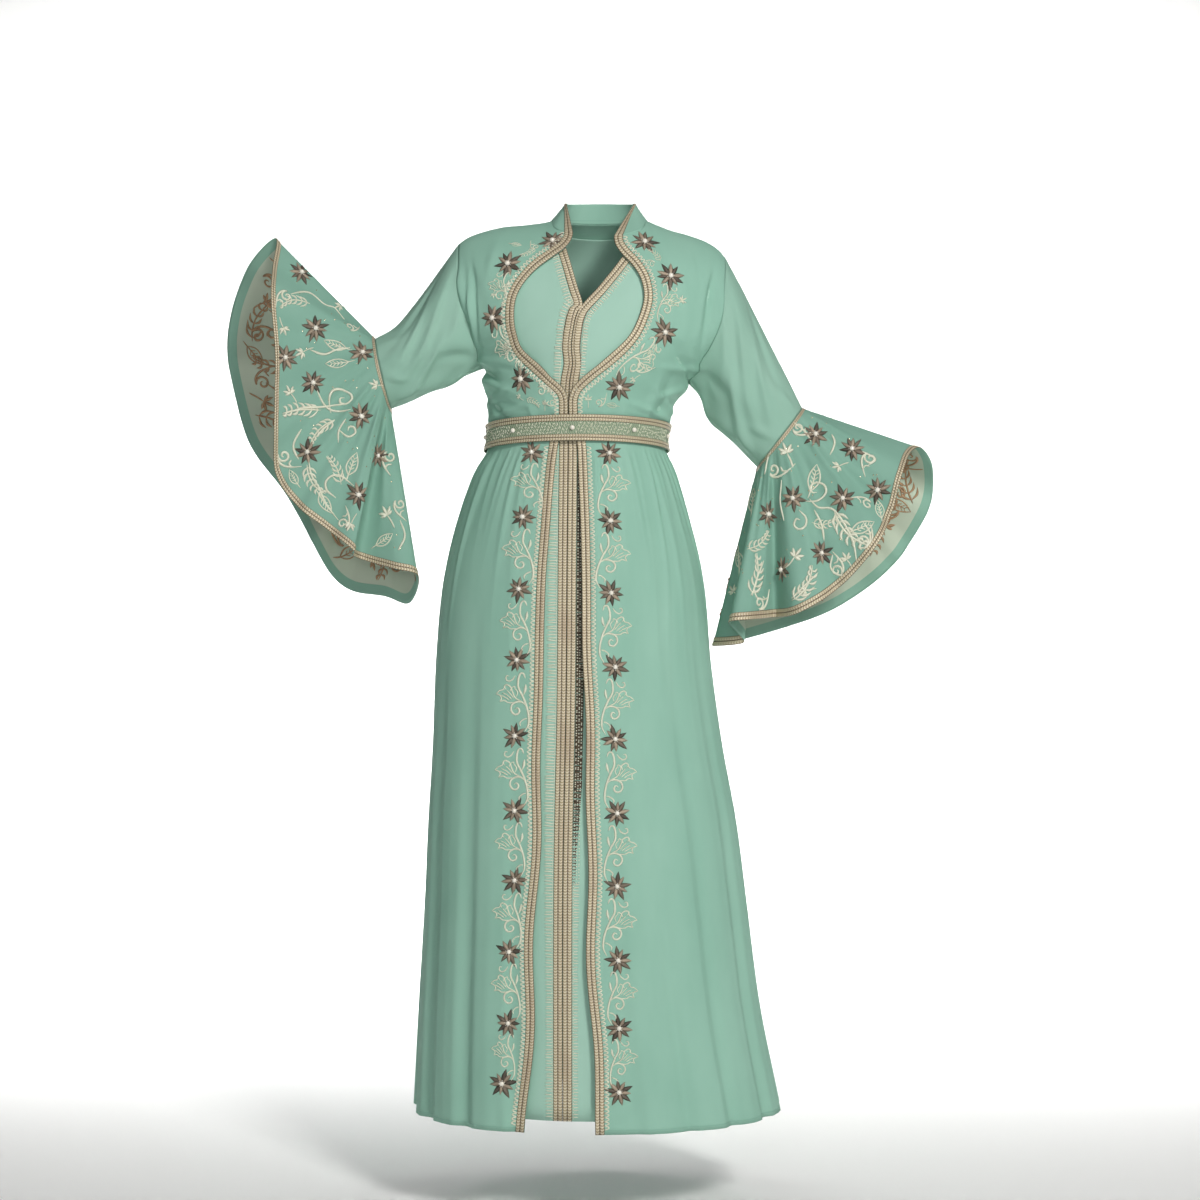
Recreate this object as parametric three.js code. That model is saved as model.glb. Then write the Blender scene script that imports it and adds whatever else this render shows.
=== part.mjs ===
import * as THREE from 'three';

// A green open gown worn over a sleeveless dress, in millimetres. The origin is midway between the
// shoulders, where the wearer holds it up: X to the wearer's left, Y to the back and Z up.

// Walls, seams and widths
const clothThickness = 1.6;
const braidThickness = 1.2;
const seamGap = 0.3;
const bentSeamGap = 0.6;
const layGap = 0.3;
const frontBraidWidth = 14;
const placketBraidWidth = 14;
const bellBraidWidth = 10;

// Heights
const waistHeight = -316;
const gownHem = -1385;
const dressHem = -1368;
const shoulderRoll = 75;

// Steps of the gown's bodice: its armhole, side seam, neck and shoulder, and the rows over which
// the shape of the shoulder fades out. The back's neck line rises in the middle.
const holeSteps = 10;
const sideSteps = 6;
const neckSteps = 3;
const shoulderSteps = 5;
const fadeRows = 8;
const backNeckSteps = 6;
const backNeckRise = 3;

// Steps of the dress. Its armholes lie nearer the middle and lower, and its neck dips behind.
const dressHoleSteps = 8;
const dressSideSteps = 4;
const dressNeckSteps = 2;
const dressShoulderSteps = 4;
const dressTurnLess = 3;
const dressArmpitDrop = 8;
const dressBackNeckSteps = 4;
const dressBackNeckRise = -12;
const dressCentreGap = 0.4;

// The gown's sections, from the neck down: its two sides, and its depth in front and behind.
const gownSections = [
  { z: 60, right: -263, left: 236, front: 62, back: 66 },
  { z: 0, right: -263, left: 236, front: 76, back: 84 },
  { z: -50, right: -262, left: 237, front: 95, back: 97 },
  { z: -100, right: -257, left: 230, front: 112, back: 106 },
  { z: -150, right: -231, left: 214, front: 123, back: 109 },
  { z: -180, right: -209, left: 192, front: 126, back: 109 },
  { z: -206, right: -189, left: 166, front: 124, back: 107 },
  { z: -230, right: -187, left: 144, front: 121, back: 104 },
  { z: -256, right: -182, left: 124, front: 116, back: 101 },
  { z: -288, right: -178, left: 112, front: 111, back: 97 },
  { z: -316, right: -177, left: 105, front: 109, back: 96 },
  { z: -340, right: -181, left: 106, front: 110, back: 98 },
  { z: -352, right: -187, left: 110, front: 112, back: 101 },
  { z: -384, right: -203, left: 123, front: 119, back: 112 },
  { z: -448, right: -226, left: 143, front: 131, back: 134 },
  { z: -512, right: -243, left: 160, front: 140, back: 148 },
  { z: -576, right: -254, left: 170, front: 147, back: 156 },
  { z: -672, right: -262, left: 177, front: 156, back: 164 },
  { z: -800, right: -267, left: 194, front: 167, back: 173 },
  { z: -928, right: -274, left: 216, front: 179, back: 182 },
  { z: -1056, right: -278, left: 231, front: 191, back: 191 },
  { z: -1216, right: -285, left: 250, front: 205, back: 201 },
  { z: -1385, right: -291, left: 281, front: 220, back: 213 },
];

// The shoulder line seen from the front, with the neck's rise between x -80 and 77.
const shoulderLine = [
  { x: -263, z: -64 },
  { x: -240, z: -21 },
  { x: -227, z: -8 },
  { x: -208, z: 5 },
  { x: -160, z: 19 },
  { x: -120, z: 23 },
  { x: -80, z: 29 },
  { x: -40, z: 45 },
  { x: 0, z: 52 },
  { x: 40, z: 45 },
  { x: 77, z: 29 },
  { x: 112, z: 15 },
  { x: 144, z: 6 },
  { x: 176, z: -7 },
  { x: 198, z: -26 },
  { x: 236, z: -90 },
];

// How far each layer lies inside the gown's sections, by height.
const gownEase = [
  { z: 60, side: 0, front: 0, back: 0 },
  { z: -1385, side: 0, front: 0, back: 0 },
];
const dressEase = [
  { z: 60, side: 5.5, front: 5.5, back: 5.5 },
  { z: -190, side: 5.5, front: 5, back: 5.5 },
  { z: -250, side: 4.6, front: 4.2, back: 4.6 },
  { z: -316, side: 4.4, front: 3.9, back: 4.4 },
  { z: -340, side: 5.5, front: 4.4, back: 5.5 },
  { z: -370, side: 8, front: 5.5, back: 8 },
  { z: -512, side: 15, front: 7.5, back: 14 },
  { z: -800, side: 22, front: 10, back: 20 },
  { z: -1385, side: 30, front: 13, back: 28 },
];
const beltEase = [
  { z: 60, side: -5, front: -5, back: -5 },
  { z: -1385, side: -5, front: -5, back: -5 },
];
const gown = { ease: gownEase, lower: 0 };
const dress = { ease: dressEase, lower: 6.5 };
const beltForm = { ease: beltEase, lower: 0 };

// The gown's front edges, a row of the table for each row of the panel, from the throat notch,
// round the almond-shaped opening and down to the waist.
const gownEdgeRight = [
  { x: -42.5, z: 2 },
  { x: -43.2, z: -4 },
  { x: -47, z: -14 },
  { x: -57, z: -26 },
  { x: -77, z: -41 },
  { x: -102, z: -61 },
  { x: -123.5, z: -88 },
  { x: -133.5, z: -120 },
  { x: -131.5, z: -155 },
  { x: -116, z: -190 },
  { x: -81, z: -224 },
  { x: -57.5, z: -246 },
  { x: -50.5, z: -262 },
  { x: -49.8, z: -277 },
  { x: -49.8, z: -290 },
  { x: -49.8, z: -303 },
  { x: -49.8, z: -316 },
];
const gownEdgeLeft = [
  { x: 22, z: -4 },
  { x: 22.3, z: -11 },
  { x: 25.7, z: -22 },
  { x: 35.5, z: -36 },
  { x: 51, z: -53 },
  { x: 64, z: -76 },
  { x: 68.3, z: -105 },
  { x: 59.5, z: -138 },
  { x: 40, z: -172 },
  { x: 3, z: -206 },
  { x: -35.5, z: -238 },
  { x: -45, z: -252 },
  { x: -48.6, z: -265 },
  { x: -48.6, z: -278 },
  { x: -48.6, z: -290 },
  { x: -48.6, z: -303 },
  { x: -48.6, z: -316 },
];

// The front edges of the skirt, which open downwards.
const skirtEdges = [
  { z: -316, right: -62, left: -38 },
  { z: -340, right: -66, left: -35 },
  { z: -420, right: -75, left: -32 },
  { z: -514, right: -82, left: -30 },
  { z: -607, right: -84, left: -26 },
  { z: -730, right: -89, left: -24.5 },
  { z: -914, right: -91.5, left: -20.5 },
  { z: -1112, right: -98.5, left: -18 },
  { z: -1279, right: -105, left: -12 },
  { z: -1385, right: -114, left: -5 },
];

// The dress's V neck and centre line. Below the V both halves meet at the centre line.
const dressEdgeRight = [
  { x: -60, z: 3 },
  { x: -59, z: -2 },
  { x: -56, z: -13 },
  { x: -50.5, z: -32 },
  { x: -43, z: -58 },
  { x: -35, z: -87 },
  { x: -27, z: -115 },
  { x: -35, z: -128 },
  { x: -41, z: -150 },
  { x: -44.5, z: -190 },
  { x: -46.5, z: -230 },
  { x: -48.5, z: -270 },
  { x: -49.5, z: -316 },
];
const dressEdgeLeft = [
  { x: 50, z: -11 },
  { x: 48, z: -16 },
  { x: 42, z: -27 },
  { x: 30, z: -45 },
  { x: 13, z: -68 },
  { x: -6, z: -92 },
  { x: -26.6, z: -115 },
  { x: -34.6, z: -128 },
  { x: -40.6, z: -150 },
  { x: -44.1, z: -190 },
  { x: -46.1, z: -230 },
  { x: -48.1, z: -270 },
  { x: -49.1, z: -316 },
];
const dressCentre = [
  { z: -316, x: -49.5 },
  { z: -500, x: -51 },
  { z: -730, x: -52.5 },
  { z: -1000, x: -57 },
  { z: -1385, x: -57 },
];

// Armholes: the turn from the front centre of the section, against the angle round the armhole
// from the shoulder down. The armpit closes on the side seam at 90 degrees.
const armholeTurns = [
  { around: 0, turn: 58.5 },
  { around: 36, turn: 58.5 },
  { around: 72, turn: 58 },
  { around: 108, turn: 60.5 },
  { around: 144, turn: 72 },
  { around: 180, turn: 90 },
];

// Each side's shoulder tip, neck point and armpit.
const rightSide = { sign: -1, tipX: -227, neckX: -80, armpit: -206, dressTipX: -215, dressNeckX: -84 };
const leftSide = { sign: 1, tipX: 198, neckX: 77, armpit: -230, dressTipX: 185, dressNeckX: 81 };

// Sleeve sections from the armhole to the elbow seam, each by its highest and lowest point.
const sleeveRight = [
  { along: 0, topX: -227, topZ: -8, lowX: -189, lowZ: -206, depth: 58 },
  { along: 0.2, topX: -248, topZ: -35, lowX: -209, lowZ: -213, depth: 59 },
  { along: 0.4, topX: -272, topZ: -69, lowX: -235, lowZ: -223, depth: 58 },
  { along: 0.6, topX: -298, topZ: -105, lowX: -264, lowZ: -239, depth: 56 },
  { along: 0.8, topX: -327, topZ: -139, lowX: -300, lowZ: -258, depth: 53 },
  { along: 1, topX: -359, topZ: -158, lowX: -334, lowZ: -270, depth: 50 },
];
const sleeveLeft = [
  { along: 0, topX: 198, topZ: -26, lowX: 144, lowZ: -230, depth: 60 },
  { along: 0.2, topX: 225, topZ: -72, lowX: 160, lowZ: -248, depth: 60 },
  { along: 0.4, topX: 250, topZ: -122, lowX: 174, lowZ: -276, depth: 59 },
  { along: 0.6, topX: 276, topZ: -175, lowX: 194, lowZ: -305, depth: 57 },
  { along: 0.8, topX: 302, topZ: -226, lowX: 221, lowZ: -333, depth: 54 },
  { along: 1, topX: 323, topZ: -269, lowX: 251, lowZ: -363, depth: 50 },
];

const sleeveStations = [0, 0.12, 0.25, 0.38, 0.5, 0.62, 0.74, 0.87, 1];
const sleeveEndCalm = 0.5;
const armholeFade = 3;

// Drag folds of the sleeves: ridges from the armpit and over the elbow, which slant round the arm.
const sleeveFolds = [
  { around: 62, along: 0.3, slant: 40, height: 5, spread: 17, reach: 0.32 },
  { around: 112, along: 0.42, slant: -30, height: 6, spread: 16, reach: 0.34 },
  { around: 155, along: 0.62, slant: -50, height: 5, spread: 18, reach: 0.3 },
  { around: 78, along: 0.84, slant: 55, height: 5, spread: 17, reach: 0.16 },
  { around: 215, along: 0.45, slant: 35, height: 5, spread: 19, reach: 0.32 },
  { around: 262, along: 0.66, slant: -35, height: 6, spread: 18, reach: 0.3 },
  { around: 312, along: 0.4, slant: 25, height: 4, spread: 18, reach: 0.3 },
];

// The hem of each bell flounce, by the turn round the elbow seam: from the top, down the front
// half, under the arm and back up the rear half. Each row is a crest or a hollow of the hem.
const bellHemRight = [
  { turn: 0, x: -520, y: 0, z: 3 },
  { turn: 14, x: -519, y: -42, z: -47 },
  { turn: 30, x: -516, y: -70, z: -112 },
  { turn: 48, x: -509, y: -88, z: -204 },
  { turn: 66, x: -509, y: -94, z: -310 },
  { turn: 80, x: -509, y: -88, z: -376 },
  { turn: 96, x: -476, y: -84, z: -427 },
  { turn: 112, x: -432, y: -90, z: -462 },
  { turn: 128, x: -386, y: -92, z: -498 },
  { turn: 138, x: -389, y: -56, z: -507 },
  { turn: 148, x: -364, y: -42, z: -516 },
  { turn: 160, x: -323, y: -60, z: -527 },
  { turn: 172, x: -288, y: -42, z: -538 },
  { turn: 190, x: -306, y: 8, z: -581 },
  { turn: 208, x: -348, y: 46, z: -570 },
  { turn: 224, x: -404, y: 70, z: -561 },
  { turn: 240, x: -438, y: 72, z: -534 },
  { turn: 252, x: -468, y: 60, z: -479 },
  { turn: 268, x: -515, y: 78, z: -400 },
  { turn: 288, x: -577, y: 98, z: -314 },
  { turn: 308, x: -607, y: 104, z: -198 },
  { turn: 328, x: -605, y: 90, z: -110 },
  { turn: 345, x: -570, y: 46, z: -39 },
];
const bellHemLeft = [
  { turn: 0, x: 514, y: 0, z: -333 },
  { turn: 14, x: 491, y: -38, z: -345 },
  { turn: 28, x: 472, y: -66, z: -387 },
  { turn: 44, x: 459, y: -84, z: -437 },
  { turn: 62, x: 431, y: -94, z: -492 },
  { turn: 82, x: 375, y: -98, z: -556 },
  { turn: 102, x: 306, y: -96, z: -598 },
  { turn: 116, x: 269, y: -70, z: -604 },
  { turn: 130, x: 231, y: -96, z: -607 },
  { turn: 142, x: 202, y: -92, z: -611 },
  { turn: 154, x: 217, y: -66, z: -628 },
  { turn: 166, x: 226, y: -46, z: -644 },
  { turn: 180, x: 179, y: -22, z: -649 },
  { turn: 200, x: 229, y: 34, z: -640 },
  { turn: 222, x: 313, y: 72, z: -617 },
  { turn: 244, x: 376, y: 92, z: -594 },
  { turn: 266, x: 436, y: 100, z: -558 },
  { turn: 288, x: 488, y: 98, z: -510 },
  { turn: 308, x: 522, y: 90, z: -458 },
  { turn: 328, x: 542, y: 72, z: -407 },
  { turn: 346, x: 536, y: 36, z: -360 },
];
const bellColumns = 40;
const bellWaves = 10;
const bellWaveHeight = 7;
const bellWaveGrowth = 1.5;
const bellRows = [0, 0.14, 0.3, 0.46, 0.64, 0.82];

// Long soft folds of the skirt: ridges that grow from their start down to the hem.
const skirtFolds = [
  { turn: -33, start: -560, height: 8, spread: 6, drift: -3 },
  { turn: -56, start: -620, height: 9, spread: 7, drift: 2 },
  { turn: -79, start: -520, height: 8, spread: 7, drift: 4 },
  { turn: 19, start: -700, height: 6, spread: 5, drift: 2 },
  { turn: 34, start: -540, height: 9, spread: 6, drift: 5 },
  { turn: 52, start: -600, height: 10, spread: 6, drift: 4 },
  { turn: 74, start: -500, height: 9, spread: 7, drift: 2 },
  { turn: 104, start: -560, height: 10, spread: 7, drift: -2 },
  { turn: 127, start: -620, height: 11, spread: 6, drift: 3 },
  { turn: 146, start: -520, height: 9, spread: 6, drift: -2 },
  { turn: 169, start: -580, height: 11, spread: 7, drift: 2 },
  { turn: 193, start: -540, height: 10, spread: 6, drift: -3 },
  { turn: 214, start: -640, height: 9, spread: 6, drift: 2 },
  { turn: 236, start: -520, height: 11, spread: 7, drift: -2 },
  { turn: 258, start: -600, height: 9, spread: 6, drift: 3 },
];

// Gathers under the belt fade out down the skirt.
const gatherFade = [
  { z: -316, height: 0 },
  { z: -340, height: 1.2 },
  { z: -356, height: 2.6 },
  { z: -376, height: 2.6 },
  { z: -456, height: 1.2 },
  { z: -524, height: 0.3 },
  { z: -620, height: 0 },
  { z: -1385, height: 0 },
];
const skirtRows = [-316, -334, -350, -374, -410, -466, -556, -690, -840, -1000, -1160, -1290, -1385];
const dressSkirtRows = [-336, -360, -410, -500, -640, -820, -1020, -1210, dressHem];
const skirtColumns = { right: 20, left: 22, back: 40 };

// The belt: a band with a braid along each edge, higher in front than behind.
const beltHeight = 41;
const beltBraidWidth = 10.5;
const beltMiddle = -318;
const beltRise = 0.09;
const beltColumns = 36;

// The collar's top edge round the neck, by the angle from the back centre.
const collarTop = {
  x: 0.5, y: 6, halfWidth: 57, halfDepth: 50, lowZ: 54.5, riseZ: 11.5, riseGrowth: 1.5,
};
const collarFrontAngles = [110, 97, 88];
const collarSideAngle = 78;
const collarRows = 3;

const degrees = THREE.MathUtils.degToRad;
const mix = THREE.MathUtils.lerp;
const clamp = THREE.MathUtils.clamp;

// A smooth cubic through one column of a table, read at a value of its key column.
function smooth(table, key, column, at) {
  const last = table.length - 1;
  const rising = table[last][key] > table[0][key];
  let i = 0;
  while (i < last - 1 && (rising ? at > table[i + 1][key] : at < table[i + 1][key])) {
    i += 1;
  }
  const slope = (a, b) => (table[b][column] - table[a][column]) / (table[b][key] - table[a][key]);
  const span = table[i + 1][key] - table[i][key];
  const s = clamp((at - table[i][key]) / span, 0, 1);
  const leave = slope(Math.max(i - 1, 0), i + 1) * span;
  const arrive = slope(i, Math.min(i + 2, last)) * span;
  const rise = table[i + 1][column] - table[i][column];
  const bend = 3 * rise - 2 * leave - arrive;
  return table[i][column] + s * (leave + s * (bend + s * (leave + arrive - 2 * rise)));
}

// The same, for a table whose key goes once round.
function smoothRound(table, key, column, at) {
  const first = { ...table[0], [key]: table[0][key] + 360 };
  const second = { ...table[1], [key]: table[1][key] + 360 };
  const before = { ...table[table.length - 1], [key]: table[table.length - 1][key] - 360 };
  return smooth([before, ...table, first, second], key, column, at);
}

function sectionAt(form, z) {
  const ease = (column) => smooth(form.ease, 'z', column, z);
  const right = smooth(gownSections, 'z', 'right', z) + ease('side');
  const left = smooth(gownSections, 'z', 'left', z) - ease('side');
  return {
    centre: (right + left) / 2,
    half: (left - right) / 2,
    front: smooth(gownSections, 'z', 'front', z) - ease('front'),
    back: smooth(gownSections, 'z', 'back', z) - ease('back'),
  };
}

function shoulderHeight(form, x) {
  return smooth(shoulderLine, 'x', 'z', x) - form.lower;
}

// A point of the worn form: turn 0 is the front centre, 90 the wearer's left side, 180 the back.
// Near the shoulder line the depth rolls off to nothing, as a quarter circle.
function formPoint(form, turn, z, out = 0) {
  const section = sectionAt(form, z);
  const cosine = Math.cos(degrees(turn));
  const x = section.centre + (section.half + out) * Math.sin(degrees(turn));
  const below = clamp((shoulderHeight(form, x) - z) / shoulderRoll, 0, 1);
  const roll = Math.sqrt(1 - (1 - below) ** 2);
  const depth = (cosine > 0 ? section.front : section.back) + out;
  return new THREE.Vector3(x, -depth * cosine * roll, z);
}

function turnAt(form, x, z) {
  const section = sectionAt(form, z);
  return THREE.MathUtils.radToDeg(Math.asin(clamp((x - section.centre) / section.half, -1, 1)));
}

// A skin is the outer face of one cut piece: rows of points, and the outward direction at each.
function makeSkin(rows, outward, wrap = false) {
  const count = rows[0].length;
  const normals = rows.map((row, r) => row.map((point, c) => {
    const before = wrap ? row[(c + count - 1) % count] : row[Math.max(c - 1, 0)];
    const after = wrap ? row[(c + 1) % count] : row[Math.min(c + 1, count - 1)];
    const above = rows[Math.max(r - 1, 0)][c];
    const below = rows[Math.min(r + 1, rows.length - 1)][c];
    return after.clone().sub(before).cross(below.clone().sub(above)).normalize();
  }));
  let agreement = 0;
  rows.forEach((row, r) => row.forEach((point, c) => {
    agreement += normals[r][c].dot(outward(point, row));
  }));
  if (agreement < 0) {
    normals.forEach((row) => row.forEach((normal) => normal.negate()));
  }
  return { rows, normals, wrap };
}

const forwards = () => new THREE.Vector3(0, -1, 0);
const backwards = () => new THREE.Vector3(0, 1, 0);

function fromRowCentre(point, row) {
  const centre = new THREE.Vector3();
  row.forEach((other) => centre.add(other));
  return point.clone().sub(centre.divideScalar(row.length));
}

// Pieces that meet at a seam share one direction there, so that their walls meet as a mitre.
function shareSeamNormals(skins) {
  const weldStep = 0.01;
  const shared = new Map();
  const keyOf = (point) => point.toArray().map((value) => Math.round(value / weldStep)).join();
  const each = (visit) => skins.forEach((skin) => skin.rows.forEach((row, r) => {
    row.forEach((point, c) => visit(skin, r, c, keyOf(point)));
  }));
  each((skin, r, c, key) => {
    shared.set(key, (shared.get(key) ?? new THREE.Vector3()).add(skin.normals[r][c]));
  });
  each((skin, r, c, key) => {
    skin.normals[r][c] = shared.get(key).clone().normalize();
  });
}

function flattenRow(skin, r) {
  skin.normals[r] = skin.normals[r].map((normal) => new THREE.Vector3(normal.x, normal.y, 0).normalize());
}

function partOfSkin(skin, firstRow, lastRow, firstColumn, lastColumn) {
  const cut = (grid) => grid
    .slice(firstRow, lastRow + 1)
    .map((row) => row.slice(firstColumn, lastColumn + 1));
  return { rows: cut(skin.rows), normals: cut(skin.normals), wrap: skin.wrap };
}

// A closed wall between two distances from a skin. Its trimmed edges draw back half of the gap.
function wallBetween(skin, low, high, trimmed, gap = seamGap) {
  const rowCount = skin.rows.length;
  const count = skin.rows[0].length;
  const pointAt = (r, c) => skin.rows[clamp(r, 0, rowCount - 1)][
    skin.wrap ? (c + count) % count : clamp(c, 0, count - 1)];
  const shiftAt = (r, c) => {
    const shift = new THREE.Vector3();
    const drawBack = (inward, tangent) => {
      const along = tangent.normalize();
      inward.addScaledVector(along, -inward.dot(along));
      shift.addScaledVector(inward.normalize(), gap / 2);
    };
    const inward = (row, column) => pointAt(row, column).clone().sub(skin.rows[r][c]);
    const acrossRow = () => pointAt(r, c + 1).clone().sub(pointAt(r, c - 1));
    const downColumn = () => pointAt(r + 1, c).clone().sub(pointAt(r - 1, c));
    if (r === 0 && trimmed.includes('top')) drawBack(inward(1, c), acrossRow());
    if (r === rowCount - 1 && trimmed.includes('bottom')) drawBack(inward(r - 1, c), acrossRow());
    if (c === 0 && trimmed.includes('first')) drawBack(inward(r, 1), downColumn());
    if (c === count - 1 && trimmed.includes('last')) drawBack(inward(r, c - 1), downColumn());
    return shift;
  };
  const positions = [];
  [high, low].forEach((distance) => skin.rows.forEach((row, r) => row.forEach((point, c) => {
    const placed = point.clone().add(shiftAt(r, c)).addScaledVector(skin.normals[r][c], distance);
    positions.push(placed.x, placed.y, placed.z);
  })));
  const indices = [];
  const at = (layer, r, c) => layer * rowCount * count + r * count + (c % count);
  const quad = (a, b, c, d) => indices.push(a, b, c, a, c, d);
  const spans = skin.wrap ? count : count - 1;
  for (let r = 0; r < rowCount - 1; r += 1) {
    for (let c = 0; c < spans; c += 1) {
      quad(at(0, r, c), at(0, r + 1, c), at(0, r + 1, c + 1), at(0, r, c + 1));
      indices.push(at(1, r, c), at(1, r + 1, c + 1), at(1, r + 1, c));
      indices.push(at(1, r, c), at(1, r, c + 1), at(1, r + 1, c + 1));
    }
    if (!skin.wrap) {
      quad(at(0, r, 0), at(1, r, 0), at(1, r + 1, 0), at(0, r + 1, 0));
      quad(at(0, r, count - 1), at(0, r + 1, count - 1), at(1, r + 1, count - 1), at(1, r, count - 1));
    }
  }
  for (let c = 0; c < spans; c += 1) {
    quad(at(0, 0, c), at(0, 0, c + 1), at(1, 0, c + 1), at(1, 0, c));
    const end = rowCount - 1;
    quad(at(0, end, c), at(1, end, c), at(1, end, c + 1), at(0, end, c + 1));
  }
  return facingOut(positions, indices);
}

// A closed surface whose enclosed volume counts as negative is inside out, so its faces are turned.
function facingOut(positions, indices) {
  const geometry = new THREE.BufferGeometry();
  geometry.setAttribute('position', new THREE.Float32BufferAttribute(positions, 3));
  const corner = (i) => new THREE.Vector3().fromArray(positions, indices[i] * 3);
  let volume = 0;
  for (let i = 0; i < indices.length; i += 3) {
    volume += corner(i).dot(corner(i + 1).cross(corner(i + 2)));
  }
  const faces = [];
  for (let i = 0; i < indices.length; i += 3) {
    const [a, b, c] = indices.slice(i, i + 3);
    faces.push(...(volume > 0 ? [a, b, c] : [a, c, b]));
  }
  geometry.setIndex(faces);
  geometry.computeVertexNormals();
  return geometry;
}

// Shoulder seam from the neck point to the shoulder tip, as places on the form.
function shoulderSeam(form, neckX, tipX, steps) {
  return Array.from({ length: steps + 1 }, (_, i) => {
    const x = mix(neckX, tipX, i / steps);
    return { x, z: shoulderHeight(form, x) };
  });
}

// A quarter ellipse from a notch to the neck point, level at the notch and upright at the neck.
// Its second point lies at the braid's width, and the steps beyond it are even.
function neckCurve(notch, neckPoint, braidWidth, steps) {
  const braidAngle = Math.asin(braidWidth / Math.abs(neckPoint.x - notch.x));
  const beyond = Array.from({ length: steps }, (_, i) => mix(braidAngle, Math.PI / 2, i / (steps - 1)));
  return [0, ...beyond].map((angle) => ({
    x: mix(notch.x, neckPoint.x, Math.sin(angle)),
    z: mix(notch.z, neckPoint.z, 1 - Math.cos(angle)),
  }));
}

// The armhole from the shoulder tip to the armpit, then the side seam down to the waist.
function outerEdge(form, side, tipX, armpit, holeSteps, sideSteps, turnLess) {
  const tip = { x: tipX, z: shoulderHeight(form, tipX) };
  const edge = [{ turn: turnAt(form, tip.x, tip.z), z: tip.z }];
  for (let i = 1; i <= holeSteps; i += 1) {
    const around = (180 * i) / holeSteps;
    const easing = i < holeSteps ? turnLess : 0;
    const z = mix(tip.z, armpit, (1 - Math.cos(degrees(around))) / 2);
    edge.push({ turn: side.sign * (smooth(armholeTurns, 'around', 'turn', around) - easing), z });
  }
  for (let i = 1; i <= sideSteps; i += 1) {
    edge.push({ turn: side.sign * 90, z: mix(armpit, waistHeight, i / sideSteps) });
  }
  return edge;
}

// A line beside a front edge, at the width of its braid, as places on the form.
function besideEdge(edge, width, sign) {
  return edge.map((place, i) => {
    const above = edge[Math.max(i - 1, 0)];
    const below = edge[Math.min(i + 1, edge.length - 1)];
    const along = new THREE.Vector2(below.x - above.x, below.z - above.z).normalize();
    return { x: place.x - sign * along.y * width, z: place.z + sign * along.x * width };
  });
}

const toTurn = (form, place) => ({ turn: turnAt(form, place.x, place.z), z: place.z });

// Rows of places between a start line and an end line. The top row follows the neck and shoulder,
// and that shape fades into level rows further down.
function blendedRows(start, end, top) {
  return start.map((from, r) => {
    const to = end[r];
    const fade = (1 + Math.cos(Math.PI * Math.min(r / fadeRows, 1))) / 2;
    return top.map((place, c) => {
      const u = c / (top.length - 1);
      const level = (column) => mix(start[0][column], end[0][column], u);
      const value = (column) => mix(from[column], to[column], u) + (place[column] - level(column)) * fade;
      return { turn: value('turn'), z: value('z') };
    });
  });
}

// A bodice front: its front edge, the line beside it, then across to the armhole and side seam.
function frontRows(form, side, edge, braidWidth, neck, shoulder, outer) {
  const top = [...neck.slice(1), ...shoulder.slice(1)].map((place) => toTurn(form, place));
  const beside = besideEdge(edge, braidWidth, side.sign).map((place) => toTurn(form, place));
  beside[0] = top[0];
  const across = blendedRows(beside, outer, top);
  return across.map((row, r) => [toTurn(form, edge[r]), ...row]);
}

const onFront = (form) => (place) => formPoint(form, place.turn, place.z);
const onBack = (form) => (place) => formPoint(form, 180 - place.turn, place.z);

function gownFront(side, edge) {
  const shoulder = shoulderSeam(gown, side.neckX, side.tipX, shoulderSteps);
  const neck = neckCurve(edge[0], shoulder[0], frontBraidWidth, neckSteps);
  const outer = outerEdge(gown, side, side.tipX, side.armpit, holeSteps, sideSteps, 0);
  const places = frontRows(gown, side, edge, frontBraidWidth, neck, shoulder, outer);
  const rows = places.map((row) => row.map(onFront(gown)));
  return makeSkin(rows, forwards);
}

// A back from one side to the other, with the neck line dipping or rising between the neck points.
function backRows(form, right, left, neckRise, neckColumns) {
  const neck = [];
  const rightNeck = right.shoulder[0];
  const leftNeck = left.shoulder[0];
  for (let i = 1; i < neckColumns; i += 1) {
    const angle = (180 * i) / neckColumns;
    const z = mix(rightNeck.z, leftNeck.z, i / neckColumns) + neckRise * Math.sin(degrees(angle));
    neck.push({ x: mix(rightNeck.x, leftNeck.x, (1 - Math.cos(degrees(angle))) / 2), z });
  }
  const top = [...right.shoulder.slice().reverse(), ...neck, ...left.shoulder];
  return blendedRows(right.outer, left.outer, top.map((place) => toTurn(form, place)));
}

function gownBack() {
  const half = (side) => ({
    shoulder: shoulderSeam(gown, side.neckX, side.tipX, shoulderSteps),
    outer: outerEdge(gown, side, side.tipX, side.armpit, holeSteps, sideSteps, 0),
  });
  const places = backRows(gown, half(rightSide), half(leftSide), backNeckRise, backNeckSteps);
  return makeSkin(places.map((row) => row.map(onBack(gown))), backwards);
}

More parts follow.
